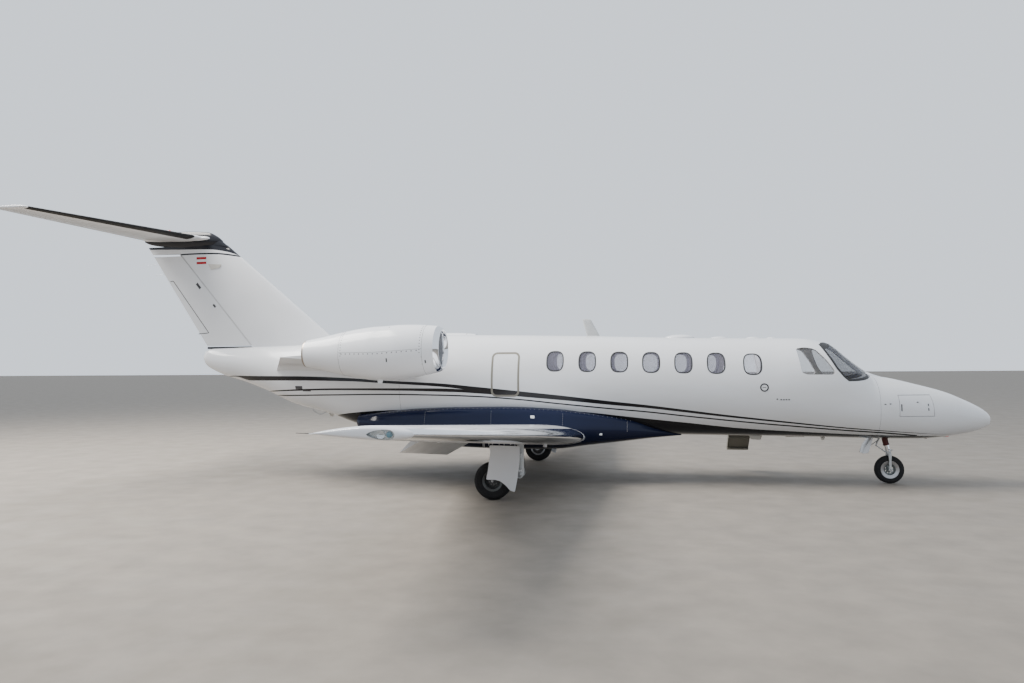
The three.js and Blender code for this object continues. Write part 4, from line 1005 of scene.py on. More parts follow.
def fin_ribbon(line, width, lift=.0006):
    """Flat strip on both sides of the fin along points of x and z."""
    line = [np.array(p) for p in line]
    line = [a + (b - a) * t for a, b in zip(line, line[1:]) for t in np.linspace(0, 1, 8,
        endpoint=False)] + [line[-1]]
    out = 0
    for side in (1, -1):
        rings = []
        for i, p in enumerate(line):
            off = across(way_along(line, i), width)
            pair = [p - off, p + off]
            rings.append([(u, side * (fin_half(u, v) + lift), v) for u, v in pair] + [(u,
                side * (fin_half(u, v) - .002), v) for u, v in pair[::-1]])
        out += loft(rings)
    return out


def blade(points, y, thick):
    """Swept aerial drawn in side view and tapered to thin edges."""
    outline = np.array(points, float)
    middle = outline.mean(0)
    rings = []
    for share, out in ((.0, -1.0), (.6, -.75), (.9, -.35), (1.0, 0), (.9, .35), (.6, .75), (.0, 1.0)):
        grown = middle + (outline - middle) * (.55 + .45 * share)
        rings.append([(px, y + out * thick / 2, pz) for px, pz in grown])
    return loft(rings)


def build_fin():
    rows = [between(FIN, z) for z in np.linspace(2.2, 4.33, 16)]
    full = loft([foil_ring(lead, trail, thick, 0, lambda x, out: (x, out, z)) for z, lead, trail,
        thick in rows])
    foot, head = Vector((-5.05, 0, 2.36)), Vector((-6.56, 0, 4.14))
    radii = [fin_half(foot.x, foot.z), fin_half(head.x, head.z)]
    h = hinge_axes(foot, head, radii)
    length = h[4]
    rear = in_frame(h, block((-2.6, 0), (-.9, length + .9), (-.4, .4), 0, slot=1))
    behind = carve(rear, [frame_cone(h, (0, length), radii, 1)], "UNION")
    room = carve(rear, [frame_cone(h, (-.15, length + .06), [r + RUN + .003 for r in radii], 1)], "UNION")
    rudder = carve(full, [behind, block((-8.2, -4), (-.4, .4), (2.392, 4.14), 0, slot=1)], "INTERSECT")
    fin = carve(full, [carve(room, [block((-8.2, -4), (-.4, .4), (2, 4.185), 0, slot=1)], "INTERSECT")])
    rise = h[1].z
    top = (4.185 - .0003 - .014 * math.sqrt(1 - rise ** 2) - foot.z) / rise
    add("rudder_skin", rudder + frame_cone(h, (length - .06, top), (.014, .014), 1), ["fin", "edge"],
        "rudder", ["rudder"], skins=[full], marks=fin_edges)
    x = np.concatenate([-5.7 - .1 * np.linspace(0, 1, 8) ** 2, np.linspace(-5.83, -7.36, 40)])
    bullet = loft([[(u, half * math.cos(t), (a + b) / 2 + (a - b) / 2 * math.sin(t)) for t in turns(48)]
        for u, (a, b, half) in zip(x, BULLET(x))])
    add("fin_skin", fin, ["fin", "edge"], stands=["fin"], skins=[full], marks=fin_edges)
    add("fin_bullet", bullet, "fin", angle=80, marks=fin_edges)
    # Trim tab seam and control joints on the rudder, two small bars and a lamp recess on the fin
    seams = fin_ribbon([(-6.80, 3.655), (-6.735, 3.66), (-5.965, 2.64), (-6.19, 2.625)], .014)
    add("rudder_tab_seam", seams, "line", "rudder")
    pads = fin_ribbon([(-6.215, 3.6), (-6.135, 3.5)], .05, .003) + fin_ribbon([(-5.86, 3.185), (-5.81, 3.13)],
        .04, .003)
    add("rudder_hinge_covers", pads, "rivet_dark", "rudder")
    gusset = blade([(-5.54, 4.27), (-5.585, 4.308), (-5.7, 4.405), (-5.86, 4.5), (-6.3, 4.52), (-6.3, 4.27)],
        0, .11)
    add("fin_cap_gusset", gusset, "fin", angle=60, marks=fin_edges)
    bars = fin_ribbon([(-6.215, 4.084), (-6.005, 4.084)], .046) + fin_ribbon([(-6.215, 3.992),
        (-6.005, 3.992)], .046)
    add("fin_bars", bars, "red")
    recess = 0
    for side in (1, -1):
        y = side * (fin_half(-5.82, 3.92) + .001)
        ring = soft_corners([(-5.96, 3.967), (-5.682, 3.949), (-5.714, 3.892), (-5.9, 3.862)], .012)
        recess += prism(ring, "xz", y - .012, y + .008, .002)
    add("fin_lamp_recess", recess, "beige")
    # Dark block in the gap under the rudder's foot: painted shade filling the gap
    add("rudder_foot_shade_block", block((-5.98, -5.09), (-.04, .04), (2.33, 2.372), .006), "line")
    wick = pipe([(-7.1, 0, 3.99), (-7.28, 0, 3.985)], .003, 6, 1) + pipe([(-6.95, 0, 3.80), (-7.12, 0, 3.79)],
        .003, 6, 1)
    add("rudder_wicks", wick, "white", "rudder")
    beacon = lathe([(.052, 0), (.052, .012), (.04, .016)], (-6.84, 0, 4.605), "z", 28)
    lens = lathe([(.037, 0), (.036, .02), (.028, .038), (.012, .048), (.001, .05)], (-6.84, 0, 4.62), "z", 28)
    add("beacon_base", beacon, "white")
    add("beacon_lens", lens, "red_lens", angle=70)


def build_tailplane():
    rows = span_rows(TAILPLANE, 0, 3.11, 12)
    for name, side in SIDES.items():
        full = paint_nose(foil_loft(rows, side, 0), .15, 1, rows, .22, 3.1)
        h = hinge(TAILPLANE, (.175, 2.98), .62, 0, side)
        surface, rest = split_control(full, h, .7)
        mats = ["white", "boot", "edge", "steel"]
        add(f"elevator_skin_{name}", surface + bosses(h, .012), mats, f"elevator_{name}",
            [f"elevator_{name}"], skins=[full])
        add(f"stabilizer_skin_{name}", rest, mats, stands=["stabilizer"], skins=[full])
        # Rounded root fairing over the leading edge
        rings = []
        for x, y, half in ((-5.87, .02, .02), (-5.91, .08, .036), (-6.02, .15, .046), (-6.25, .2, .054),
                (-6.6, .22, .056), (-7.0, .2, .04), (-7.3, .14, .016)):
            z = 4.462
            rings.append([(x, side * y * math.cos(t), z + half * math.sin(t))
                for t in np.linspace(-math.pi / 2, math.pi / 2, 20)] + [(x, 0, z + half), (x, 0, z - half)])
        add(f"tailplane_root_{name}", loft(rings), "white", angle=60)


# Engines
ENGINE_Y, FAN_Z, SPINNER_X = 1.45, 2.228, -1.12
POD = Curve([(-1.015, 2.243, .379), (-1.34, 2.222, .424), (-1.71, 2.198, .447), (-2.03, 2.18, .446),
    (-2.27, 2.18, .422), (-2.65, 2.182, .356), (-3.04, 2.182, .272), (-3.3, 2.182, .226)])
DUCT = Curve([(-.92, 2.244, .306), (-.955, 2.243, .284), (-1.03, 2.242, .272), (-1.3, 2.226, .272),
    (-1.45, 2.218, .3), (-2.7, 2.184, .3), (-3.31, 2.182, .206)])


def ring_at(x, z, radius, sides=72):
    t = turns(sides)
    return np.stack([np.full(sides, x), ENGINE_Y + radius * np.cos(t), z + radius * np.sin(t)], 1)


def build_engine(name, side):
    outer = [ring_at(x, *POD(x)) for x in np.linspace(-1.0153, -3.27, 60)]
    inner = [ring_at(x, *DUCT(x)) for x in np.linspace(-3.27, -1.0153, 50)]
    pod = loft(outer + inner + outer[:1], caps=False)
    pod.m = [int(inside_pod(pod.v[list(face)].mean(0))) for face in pod.f]
    add(f"nacelle_skin_{name}", on_side(pod, side), ["white", "grey"], stands=[f"nacelle_{name}"],
        angle=50)
    lip = smooth_line([(-1.015, .379, 0), (-.985, .367, 0), (-.957, .352, 0), (-.94, .338, 0),
        (-.931, .322, 0), (-.936, .306, 0), (-.953, .291, 0), (-.983, .2795, 0), (-1.015, .2735, 0)], 5)
    rings = [ring_at(x, 2.2435, r, 96) for x, r, _ in lip]
    add(f"inlet_lip_skin_{name}", on_side(loft(rings + rings[:1], caps=False), side), "chrome",
        stands=[f"inlet_lip_{name}"], angle=70)
    # Fan with swept blades and a spinner with a pale swirl
    blades = 0
    for angle in turns(20):
        rings = []
        for r in np.linspace(.075, .2605, 8):
            share = (r - .075) / .187
            twist = math.radians(28 + 32 * share)
            chord, sweep = .085 + .05 * share, .02 * math.sin(share * math.pi)
            ring = []
            for u in np.linspace(-.5, .5, 7):
                ring.append((u, .0035 * (1 - (2 * u) ** 2) + .0008 + .012 * (1 - (2 * u) ** 2) * share))
            ring += [(u, -.0012 + .012 * (1 - (2 * u) ** 2) * share) for u, _ in ring[::-1]]
            rings.append([(sweep + chord * (u * math.cos(twist)) - w * math.sin(twist),
                chord * (u * math.sin(twist)) + w * math.cos(twist), r) for u, w in ring])
        blades += loft(rings).at(Matrix.Rotation(angle, 4, "X"))
    blades = blades.moved(-1.3, ENGINE_Y, FAN_Z)
    add(f"fan_blades_{name}", on_side(blades, side), "titanium", f"fan_{name}", [f"fan_{name}"],
        30)
    cone = [(.001, 0), (.02, -.006), (.045, -.03), (.07, -.078), (.09, -.15), (.09, -.22), (.05, -.223),
        (.05, -.279), (.001, -.2797)]
    add(f"spinner_{name}", on_side(lathe(cone, (SPINNER_X, ENGINE_Y, FAN_Z), "x", 40), side), "black",
        f"fan_{name}")
    swirl = []
    for t in np.linspace(0, 1, 22):
        r = .012 + .062 * t
        x = SPINNER_X + float(np.interp(r, [0, .02, .045, .07, .09], [0, -.006, -.03, -.078, -.15]))
        a = t * 4.2
        swirl.append((x + .0005, ENGINE_Y + r * math.cos(a), FAN_Z + r * math.sin(a)))
    add(f"spinner_swirl_{name}", on_side(pipe(swirl, .0045, 6, 1), side), "white", f"fan_{name}")
    # Plain core, its struts and vanes behind the fan, and the exhaust
    core = lathe([(.02, -1.4), (.12, -1.404), (.185, -1.43), (.19, -1.5), (.19, -2.88), (.186, -2.9),
        (.12, -3.01), (.06, -3.215), (.03, -3.235), (.001, -3.24)], (0, ENGINE_Y, 2.19), "x", 56)
    struts = (block((-2.15, -2.03), (ENGINE_Y - .2985, ENGINE_Y + .2985), (2.16, 2.22), .012)
        + block((-2.15, -2.03), (ENGINE_Y - .03, ENGINE_Y + .03), (1.9, 2.48), .012))
    vanes = 0
    for angle in turns(28):
        vane = block((-1.56, -1.48), (-.002, .002), (.186, .288), .001, 1)
        vanes += vane.at(Matrix.Rotation(angle, 4, "X"))
    core += struts + vanes.moved(0, ENGINE_Y, 2.205)
    add(f"engine_core_skin_{name}", on_side(core, side), "exhaust", stands=[f"engine_core_{name}"])
    nozzle = [ring_at(x, 2.182, r) for x, r in ((-3.2705, .2312), (-3.29, .2278), (-3.3, .225),
        (-3.303, .221), (-3.303, .212), (-3.3, .208), (-3.24, .212), (-3.2, .22), (-3.24, .226))]
    add(f"exhaust_nozzle_{name}", on_side(loft(nozzle + nozzle[:1], caps=False), side), "exhaust",
        angle=60)
    # Cowl seams, fasteners, slots and drain mast
    seams = 0
    for x in (-1.19, -2.6):
        seams += pod_ribbon([(x, t) for t in np.linspace(-3.1, 3.1, 70)], .0035)
    seams += pod_ribbon([(x, .02) for x in np.linspace(-1.19, -2.6, 20)], .003)
    add(f"cowl_seams_{name}", on_side(seams, side), "line")
    dots = 0
    for x in np.linspace(-1.27, -2.54, 17):
        dots += pod_dot(x, .035, .011)
    for t in np.linspace(-1.2, .12, 12):
        dots += pod_dot(-1.225, t, .009) + pod_dot(-2.56, t, .009)
    for x, t, r in ((-1.79, -1.16, .014), (-1.2, .3, .006), (-1.2, .6, .006), (-2.6, .3, .006),
            (-2.6, .6, .006)):
        dots += pod_dot(x, t, r)
    add(f"cowl_fasteners_{name}", on_side(dots, side), "rivet_dark")
    slots = 0
    for x, t in ((-1.758, -.3), (-1.14, -.52)):
        slots += pod_ribbon([(x, t - .07), (x, t + .07)], .02, .002)
    add(f"cowl_slots_{name}", on_side(slots, side), "line")
    pale = pod_dot(-1.743, .52, .04) + pod_dot(-1.35, -.9, .018) + pod_dot(-1.67, -1.47, .02)
    mast = prism(soft_corners([(-2.04, 1.79), (-1.93, 1.77), (-1.95, 1.69), (-2.02, 1.68)], .01), "xz",
        ENGINE_Y + .06, ENGINE_Y + .08, .004)
    add(f"drain_mast_{name}", on_side(mast + pale, side), "white")
    rows = [between([(.38, -1.52, -4.39, 1.88, .19), (1.25, -1.8, -3.88, 2.135, .15)], v)
        for v in np.linspace(.38, 1.25, 10)]
    add(f"pylon_skin_{name}", foil_loft(rows, side, 0), "white", stands=[f"pylon_{name}"],
        angle=60)


def inside_pod(middle):
    z, radius = POD(middle[0])
    return math.hypot(middle[1] - ENGINE_Y, middle[2] - z) < radius - .012


def pod_point(x, t, lift=.0):
    z, radius = POD(x)
    return np.array((x, ENGINE_Y + (radius + lift) * math.cos(t), z + (radius + lift) * math.sin(t)))


def pod_ribbon(line, width, lift=.0006):
    rings = []
    for i, (x, t) in enumerate(line):
        radius = float(POD(x)[1])
        a, b = line[min(i + 1, len(line) - 1)], line[max(i - 1, 0)]
        off = across((a[0] - b[0], (a[1] - b[1]) * radius), width)
        pair = [(x - off[0], t - off[1] / radius), (x + off[0], t + off[1] / radius)]
        rings.append([pod_point(u, v, lift) for u, v in pair] + [pod_point(u, v, -.003) for u,
            v in pair[::-1]])
    return loft(rings)


def pod_dot(x, t, radius):
    z, r = POD(x)
    dot = rod((r - .003, 0, 0), (r + .0012, 0, 0), radius, radius * .8, 8, 0)
    return dot.at(Matrix.Translation((x, ENGINE_Y, z)) @ Matrix.Rotation(-t, 4, "X")
        @ Matrix.Rotation(math.pi / 2, 4, "Z"))


for side_name, side_sign in SIDES.items():
    build_wing(side_name, side_sign)
    build_engine(side_name, side_sign)
build_fairing()
build_fin()
build_tailplane()

# Landing gear
def build_wheel(name, side, x, y, radius, width, bead, flange, holes, body, tyre_node, rim_node):
    """Tyre with tread grooves and an open-webbed rim, made at y = 0 with its outer face ahead."""
    wall, w, groove = radius - bead, width / 2, .005
    half = [(bead, -.72 * w), (bead + .12 * wall, -.84 * w), (bead + .3 * wall, -.955 * w),
        (bead + .45 * wall, -w), (bead + .62 * wall, -1.0 * w), (bead + .66 * wall, -1.012 * w),
        (bead + .7 * wall, -.985 * w), (radius - .12 * wall, -.83 * w), (radius - .04 * wall, -.66 * w),
        (radius - .008 * wall, -.5 * w)]
    tread = []
    for k in (-.34, -.11):
        at, wide = k * w, .035 * w
        tread += [(radius, at - wide), (radius - groove, at - wide * .6), (radius - groove, at + wide * .6),
            (radius, at + wide)]
    profile = half + tread
    profile += [(r, -a) for r, a in profile[::-1]]
    tyre = lathe(profile, (x, y, radius), "y", 96, hollow=True)
    add(f"{tyre_node}_skin", on_side(tyre, side), "rubber", body, [tyre_node], 50)
    rim = .36 * width
    edge = bead - .0006
    barrel = [(edge, rim), (edge - .006, rim + .001), (edge - .012, rim - .004), (edge - .018, rim * .7),
        (edge - .024, rim * .45)]
    barrel += [(r, -a) for r, a in barrel[::-1]]
    share = (flange - bead) / (.45 * wall)
    out = w * (.72 + .28 * share)
    lip = [(edge - .004, rim + .0015), (flange - .006, out + .001), (flange - .003, out + .0005),
        (flange, out + .003), (flange - .002, out + .0065), (flange - .008, out + .006), (edge, rim + .006),
        (edge - .008, rim + .0035)]
    shape = lathe(barrel, (x, y, radius), "y", 80, hollow=True)
    shape += lathe(lip, (x, y, radius), "y", 80, 0, True)
    shape += lathe([(r, -a) for r, a in lip], (x, y, radius), "y", 80, 1, True)
    inner = edge - .022
    web = lathe([(.02, .012), (inner * .45, .02), (inner * .72, .014), (inner, .004), (inner, -.008),
        (inner * .72, 0), (inner * .45, .004), (.02, -.004)], (x, y, radius), "y", 64, hollow=True)
    cuts = 0
    for t in turns(holes, .5):
        px, pz = x + inner * .74 * math.cos(t), radius + inner * .74 * math.sin(t)
        cuts += rod((px, y - .03, pz), (px, y + .05, pz), inner * .135, sides=16, bevel=0)
    shape += carve(web, [cuts])
    hub = lathe([(.0205, -rim * .9), (.034, -rim * .9), (.036, -.01), (.038, .012), (.04, rim * .55),
        (.036, rim * .75), (.022, rim * .8), (.0205, rim * .8)], (x, y, radius), "y", 40, hollow=True)
    shape += hub
    bolts = 0
    for t in turns(holes):
        px, pz = x + inner * .55 * math.cos(t), radius + inner * .55 * math.sin(t)
        bolts += rod((px, y + .008, pz), (px, y + .026, pz), .0048, sides=6, bevel=.0008, slot=1)
    # Main wheels take the darker rim colour, which holds painted shade
    add(f"{rim_node}_skin", on_side(shape + bolts, side), ["rim" if name == "nose" else "main_rim_shaded", "steel"],
        body, [rim_node], 40)
    brake = lathe([(.05, -rim * .85), (inner * .9, -rim * .85), (inner * .93, -.02), (.05, -.018)],
        (x, y, radius), "y", 48, hollow=True)
    return brake


# Main gear, left side: half track, leg, the link's pivot and the wheel's centre
TRACK_Y, LEG_X = 2.45, .49
PIVOT_X, PIVOT_Z, WHEEL_X, WHEEL_Z = .478, .372, .085, .277


def build_main_gear(name, side):
    brake = build_wheel(name, side, WHEEL_X, TRACK_Y, WHEEL_Z, .188, .13, .152, 9, f"main_wheel_{name}",
        f"main_tyre_{name}", f"main_rim_{name}")
    leg = rod((LEG_X, TRACK_Y, .372), (LEG_X, TRACK_Y, .905), .049, sides=36)
    for z, r, tall in ((.43, .056, .03), (.56, .053, .02), (.7, .056, .045), (.8, .06, .03)):
        leg += rod((LEG_X, TRACK_Y, z), (LEG_X, TRACK_Y, z + tall), r, sides=36)
    leg += rod((LEG_X, TRACK_Y, .36), (LEG_X, TRACK_Y, .372), .03, .049)
    leg += rod((PIVOT_X, 2.268, PIVOT_Z), (PIVOT_X, 2.516, PIVOT_Z), .036, slot=1)
    leg += lathe([(.05, 2.43), (.054, 2.436), (.054, 2.5), (.05, 2.506)], (PIVOT_X, 0, PIVOT_Z), "y", 36)
    leg += lathe([(.02, 2.51), (.03, 2.512), (.03, 2.52), (.018, 2.524), (.017, 2.53)], (PIVOT_X, 0, PIVOT_Z),
        "y", 6, 1)
    leg += rod((.478, 2.24, .7), (.478, 2.45, .76), .026) + rod((.49, 2.31, .735), (.49, 2.2, .87), .02)
    leg += rod((.468, 2.3, .7), (.42, 2.3, .6), .03) + rod((.468, 2.24, .7), (.468, 2.36, .7), .02, slot=1)
    for z0, z1 in ((.645, .685), (.425, .455)):
        leg += block((.45, .52), (2.46, 2.61), (z0, z1), .006)
        for x in (.46, .51):
            leg += rod((x, 2.606, (z0 + z1) / 2), (x, 2.611, (z0 + z1) / 2), .008, sides=6, bevel=.001,
                slot=1)
    add(f"main_leg_skin_{name}", on_side(leg, side), ["gear", "steel"], stands=[f"main_leg_{name}"])
    rings = []
    a, b = np.array((PIVOT_X, PIVOT_Z)), np.array((WHEEL_X, WHEEL_Z))
    way = (b - a) / np.linalg.norm(b - a)
    across = np.array((-way[1], way[0]))
    for t, deep, wide in ((.06, .036, .026), (.16, .038, .03), (.35, .031, .026), (.6, .029, .024),
            (.82, .031, .026), (.94, .034, .028)):
        c = a + (b - a) * t
        rings.append([(c[0] + across[0] * deep * v, 2.3 + wide * u, c[1] + across[1] * deep * v) for u,
            v in [(np.sign(math.cos(k)) * abs(math.cos(k)) ** .7,
            np.sign(math.sin(k)) * abs(math.sin(k)) ** .7) for k in turns(28)]])
    link = loft(rings)
    link += rod((PIVOT_X, 2.268, PIVOT_Z), (PIVOT_X, 2.332, PIVOT_Z), .052, sides=40)
    link += rod((WHEEL_X, 2.262, WHEEL_Z), (WHEEL_X, 2.338, WHEEL_Z), .047, sides=40)
    link += rod((WHEEL_X, 2.25, WHEEL_Z), (WHEEL_X, 2.542, WHEEL_Z), .0195, slot=1)
    link += rod((WHEEL_X, 2.542, WHEEL_Z), (WHEEL_X, 2.552, WHEEL_Z), .015, sides=6, bevel=.001, slot=1)
    upper, mid, low = (.42, 2.3, .6), (.385, 2.3, .5257), (.3, 2.3, .345)
    link += rod(upper, mid, .034, sides=32) + rod(mid, (.318, 2.3, .383), .021, slot=2)
    link += rod((.33, 2.3, .408), low, .03) + rod((.3, 2.255, .34), (.3, 2.345, .34), .022, slot=1)
    link += block((.27, .33), (2.276, 2.324), (.3, .35), .01)
    add(f"trailing_link_skin_{name}", on_side(link, side), ["gear", "steel", "chrome"],
        stands=[f"trailing_link_{name}"])
    pack = brake + rod((WHEEL_X, 2.335, WHEEL_Z), (WHEEL_X, 2.39, WHEEL_Z), .06)
    for k in range(5):
        t = math.pi * (.15 + .35 * k)
        px, pz = WHEEL_X + .075 * math.cos(t), WHEEL_Z + .075 * math.sin(t)
        pack += rod((px, 2.36, pz), (px, 2.41, pz), .017, slot=0)
    add(f"brake_{name}", on_side(pack, side), "brake")
    hoses = pipe([(.475, 2.395, .84), (.45, 2.385, .62), (.46, 2.36, .45), (.4, 2.352, .405),
        (.22, 2.352, .35), (.13, 2.36, .33)], .0055, 8)
    hoses += pipe([(.505, 2.395, .84), (.53, 2.385, .62), (.54, 2.37, .46), (.5, 2.345, .33),
        (.3, 2.345, .28), (.14, 2.36, .24)], .004, 8)
    add(f"brake_hoses_{name}", on_side(hoses, side), "hose")
    outline = soft_corners([(.06, .806), (.51, .798), (.5, .56), (.47, .33), (.43, .14), (.36, .16),
        (.3, .23), (.22, .29), (.14, .31), (.01, .31), (.03, .4), (.072, .7)], .02)
    door = prism(outline, "xz", 2.612, 2.626, .003)
    door += prism(soft_corners([(.12, .76), (.47, .752), (.46, .5), (.42, .3), (.36, .26), (.28, .33),
        (.16, .36), (.08, .4)], .03), "xz", 2.608, 2.6125, .0015)
    for a, b in (((.11, .66), (.48, .66)), ((.09, .44), (.47, .44))):
        door += rod((a[0], 2.61, a[1]), (b[0], 2.61, b[1]), .007, slot=0)
    add(f"gear_door_skin_{name}", on_side(door, side), "white", stands=[f"gear_door_{name}"],
        angle=30)
    # Ribs and pipes in the wheel well
    well = 0
    for t in turns(10):
        c, s = math.cos(t), math.sin(t)
        well += rod((WHEEL_X + .296 * c, 1.78 + .296 * s, .7), (WHEEL_X + .296 * c, 1.78 + .296 * s, .903),
            .008)
    well += pipe([(-.1, 1.62, .9), (.05, 1.66, .895), (.2, 1.66, .895), (.33, 1.72, .9)], .008, 10)
    well += pipe([(-.12, 1.9, .9), (.05, 1.88, .893), (.2, 1.9, .893), (.34, 1.86, .9)], .006, 10)
    add(f"well_ribs_{name}", on_side(well, side), "grey")


def build_nose_gear():
    x, z = 6.245, .2285
    build_wheel("nose", 1, x, 0, .2285, .108, .102, .146, 8, "nose_wheel", "nose_tyre", "nose_rim")
    top, low = np.array((6.105, 0, 1.08)), np.array((6.236, 0, .52))
    at = lambda t, shift=(0, 0, 0): tuple(top + (low - top) * t + np.array(shift))
    strut = rod(top, at(.8), .046, sides=40) + rod(at(.77), at(.81), .05, sides=40)
    strut += rod(at(.79), low, .036, sides=40, slot=2)
    for t, r in ((.2, .052), (.42, .05), (.5, .052)):
        strut += rod(at(t), at(t + .035), r, sides=40)
    strut += rod((6.125, -.1497, 1.0), (6.125, .1497, 1.0), .032, slot=1)
    strut += rod((6.125, -.1497, 1.0), (6.125, -.1, 1.0), .038) + rod((6.125, .1, 1.0), (6.125, .1497, 1.0),
        .038)
    strut += rod(at(.36, (.01, 0, 0)), (6.3, 0, 1.06), .014, slot=1)
    # The strut's dark colour includes painted shade
    add("nose_strut_skin", strut, ["strut_and_shade", "steel", "chrome"], stands=["nose_strut"])
    way = (low - top) / np.linalg.norm(low - top)
    # Fork: collar, crown, two flattened arms with lugs, axle
    fork = rod(low + way * .0005, low + way * .034, .044, sides=36)
    crown = low + way * .03
    rings = []
    for y in np.linspace(-.1, .1, 13):
        deep = .024 - .006 * (abs(y) / .1) ** 3
        rings.append([(crown[0] + deep * 1.05 * math.cos(t), y, crown[2] + .001 - .004 * (y / .1) ** 2
            + deep * math.sin(t)) for t in turns(24)])
    fork += loft(rings)
    for s in (1, -1):
        a, b = np.array((crown[0], s * .082, crown[2])), np.array((x, s * .082, z))
        rings = []
        for t, long in ((-.06, .02), (.1, .026), (.4, .019), (.75, .018), (.92, .024), (1.0, .028)):
            c = a + (b - a) * t
            rings.append([(c[0] + long * math.cos(k), c[1] + .0125 * math.sin(k), c[2]) for k in turns(24)])
        fork += loft(rings) + rod((x, s * .066, z), (x, s * .1, z), .029)
        fork += rod((x, s * .1, z), (x, s * .1075, z), .017, sides=6, bevel=.001, slot=1)
    fork += rod((x, -.08, z), (x, .08, z), .0158, slot=1)
    # Torque links behind the strut, hinged at their apex
    apex = np.array((6.05, 0, .62))
    ends = (np.array(at(.53, (-.056, 0, 0))), np.array(low + way * .012 + np.array((-.035, 0, 0))))
    for end in ends:
        for s in (1, -1):
            fork += rod((end[0], s * .034, end[2]), (apex[0], s * .012, apex[2]), .009, .007, 16)
        fork += rod((end[0], -.045, end[2]), (end[0], .045, end[2]), .01, slot=1)
    fork += rod((apex[0], -.026, apex[2]), (apex[0], .026, apex[2]), .011, slot=1)
    fork += rod((6.236, -.07, .556), (6.236, .07, .556), .012, slot=1) + block((6.262, 6.3), (-.03, .03),
        (.535, .556), .006)
    add("nose_fork_skin", fork, ["gear", "steel"], "nose_fork", ["nose_fork"])
    outline = soft_corners([(5.952, .77), (5.974, .77), (5.976, .735), (5.9, .505), (5.815, .49), (5.86, .62),
        (5.945, .735)], .012)
    door = prism(outline, "xz", -.12, .12, .004)
    door += rod((5.93, .07, .62), (5.97, .07, .74), .009, slot=1)
    door += rod((5.93, -.07, .62), (5.97, -.07, .74), .009, slot=1)
    door += rod((5.905, .05, .56), (6.115, .03, .72), .007, slot=1) + block((5.895, 5.925), (-.07, .07),
        (.545, .565), .005)
    add("nose_gear_door_skin", door, ["white", "steel"], stands=["nose_gear_door"])
    hose = pipe([(6.16, .045, .95), (6.195, .052, .8), (6.2, .056, .68), (6.225, .05, .58),
        (6.24, .047, .54)], .004, 8)
    add("nose_hose", hose, "hose")


for side_name, side_sign in SIDES.items():
    build_main_gear(side_name, side_sign)
build_nose_gear()


# Window glass, seals and the emergency exit's frame; the cockpit window seal and the exit frame are partly
# painted shade
def skin_band(front, back, outside, inside, step=.05):
    return carve(body_loft(front, back, outside, step=step), [body_loft(front + .05, back - .05, inside,
        step=step)])


def build_glass():
    holes = {s: [oval(x, z, .29, .345) for x, z in windows_of(s)] for s in (1, -1)}
    band = skin_band(4.4, .4, .002, .0075)
    panes = carve(band, [total(side_cut(shrunk(o, .0015), s) for s in holes for o in holes[s])], "INTERSECT")
    add("cabin_panes", panes.painted(0), "pane", skins=None, angle=60)
    band = skin_band(4.4, .4, -.0012, .01)
    grown = total(side_cut(shrunk(o, -.003), s) for s in holes for o in holes[s])
    inner = total(side_cut(shrunk(o, .016), s) for s in holes for o in holes[s])
    rings = carve(carve(band, [grown], "INTERSECT"), [inner])
    add("cabin_window_seals", rings, "seal", angle=50)
    for name, side in SIDES.items():
        lots = windows_of(side)
        front, back = lots[-1][0] + .19, lots[0][0] - .19
        strip = skin_band(front, back, .0703, .078, step=.1)
        strip = carve(strip, [block((back - .1, front + .1), span_of(side, .3, 1), (1.78, 2.23), 0)],
            "INTERSECT")
        add(f"cabin_inner_panes_{name}", strip, "inner", stands=[f"cabin_glazing_{name}"],
            angle=60)
        # Plastic frames round the windows inside
        frames = carve(skin_band(front + .05, back - .05, .0785, .089), [total(side_cut(shrunk(o, -.03), side)
            for o in holes[side])], "INTERSECT")
        frames = carve(frames, [total(side_cut(shrunk(o, .012), side) for o in holes[side])])
        add(f"cabin_window_frames_{name}", frames, "plastic", angle=50)
        glass_band = skin_band(5.9, 4.6, .005, .024)
        window = soft_corners(COCKPIT_WINDOW, .04)
        pane = carve(glass_band, [side_cut(shrunk(window, .0015), side)], "INTERSECT")
        add(f"cockpit_pane_{name}", pane, "side_glass", stands=[f"cockpit_window_{name}"],
            angle=60)
        pane = carve(glass_band, [screen_cut(side, .0015)], "INTERSECT")
        add(f"windshield_pane_{name}", pane, "windshield", stands=[f"windshield_{name}"],
            angle=60)
        seal_band = skin_band(5.95, 4.6, -.0012, .006)
        # The side window's dark seal is wider at the top and the rear than at the bottom: that extra width is
        # painted shade from the frame
        ring = carve(carve(seal_band, [side_cut(shrunk(window, -.004), side)], "INTERSECT"),
            [side_cut([(x + .008, z - .02) for x, z in shrunk(window, .03)], side)])
        ring += carve(carve(seal_band, [screen_cut(side, -.022)], "INTERSECT"), [screen_cut(side, .012)])
        add(f"cockpit_seals_and_shade_{name}", ring, "seal", angle=50)
    # Ring round the emergency exit: a real outline, drawn in the stair colour and so darkened with painted
    # shade
    outline = rounded([EXIT_X[0] - .002, EXIT_X[1] + .002], [EXIT_Z[0] - .042, EXIT_Z[1] + .002],
        EXIT_CORNER + .01)
    band = skin_band(.5, -.6, -.0012, .002)
    ring = carve(carve(band, [side_cut(outline, -1)], "INTERSECT"), [side_cut(shrunk(outline, .034), -1)])
    add("exit_frame_and_shade", ring, "stair", angle=50)


build_glass()

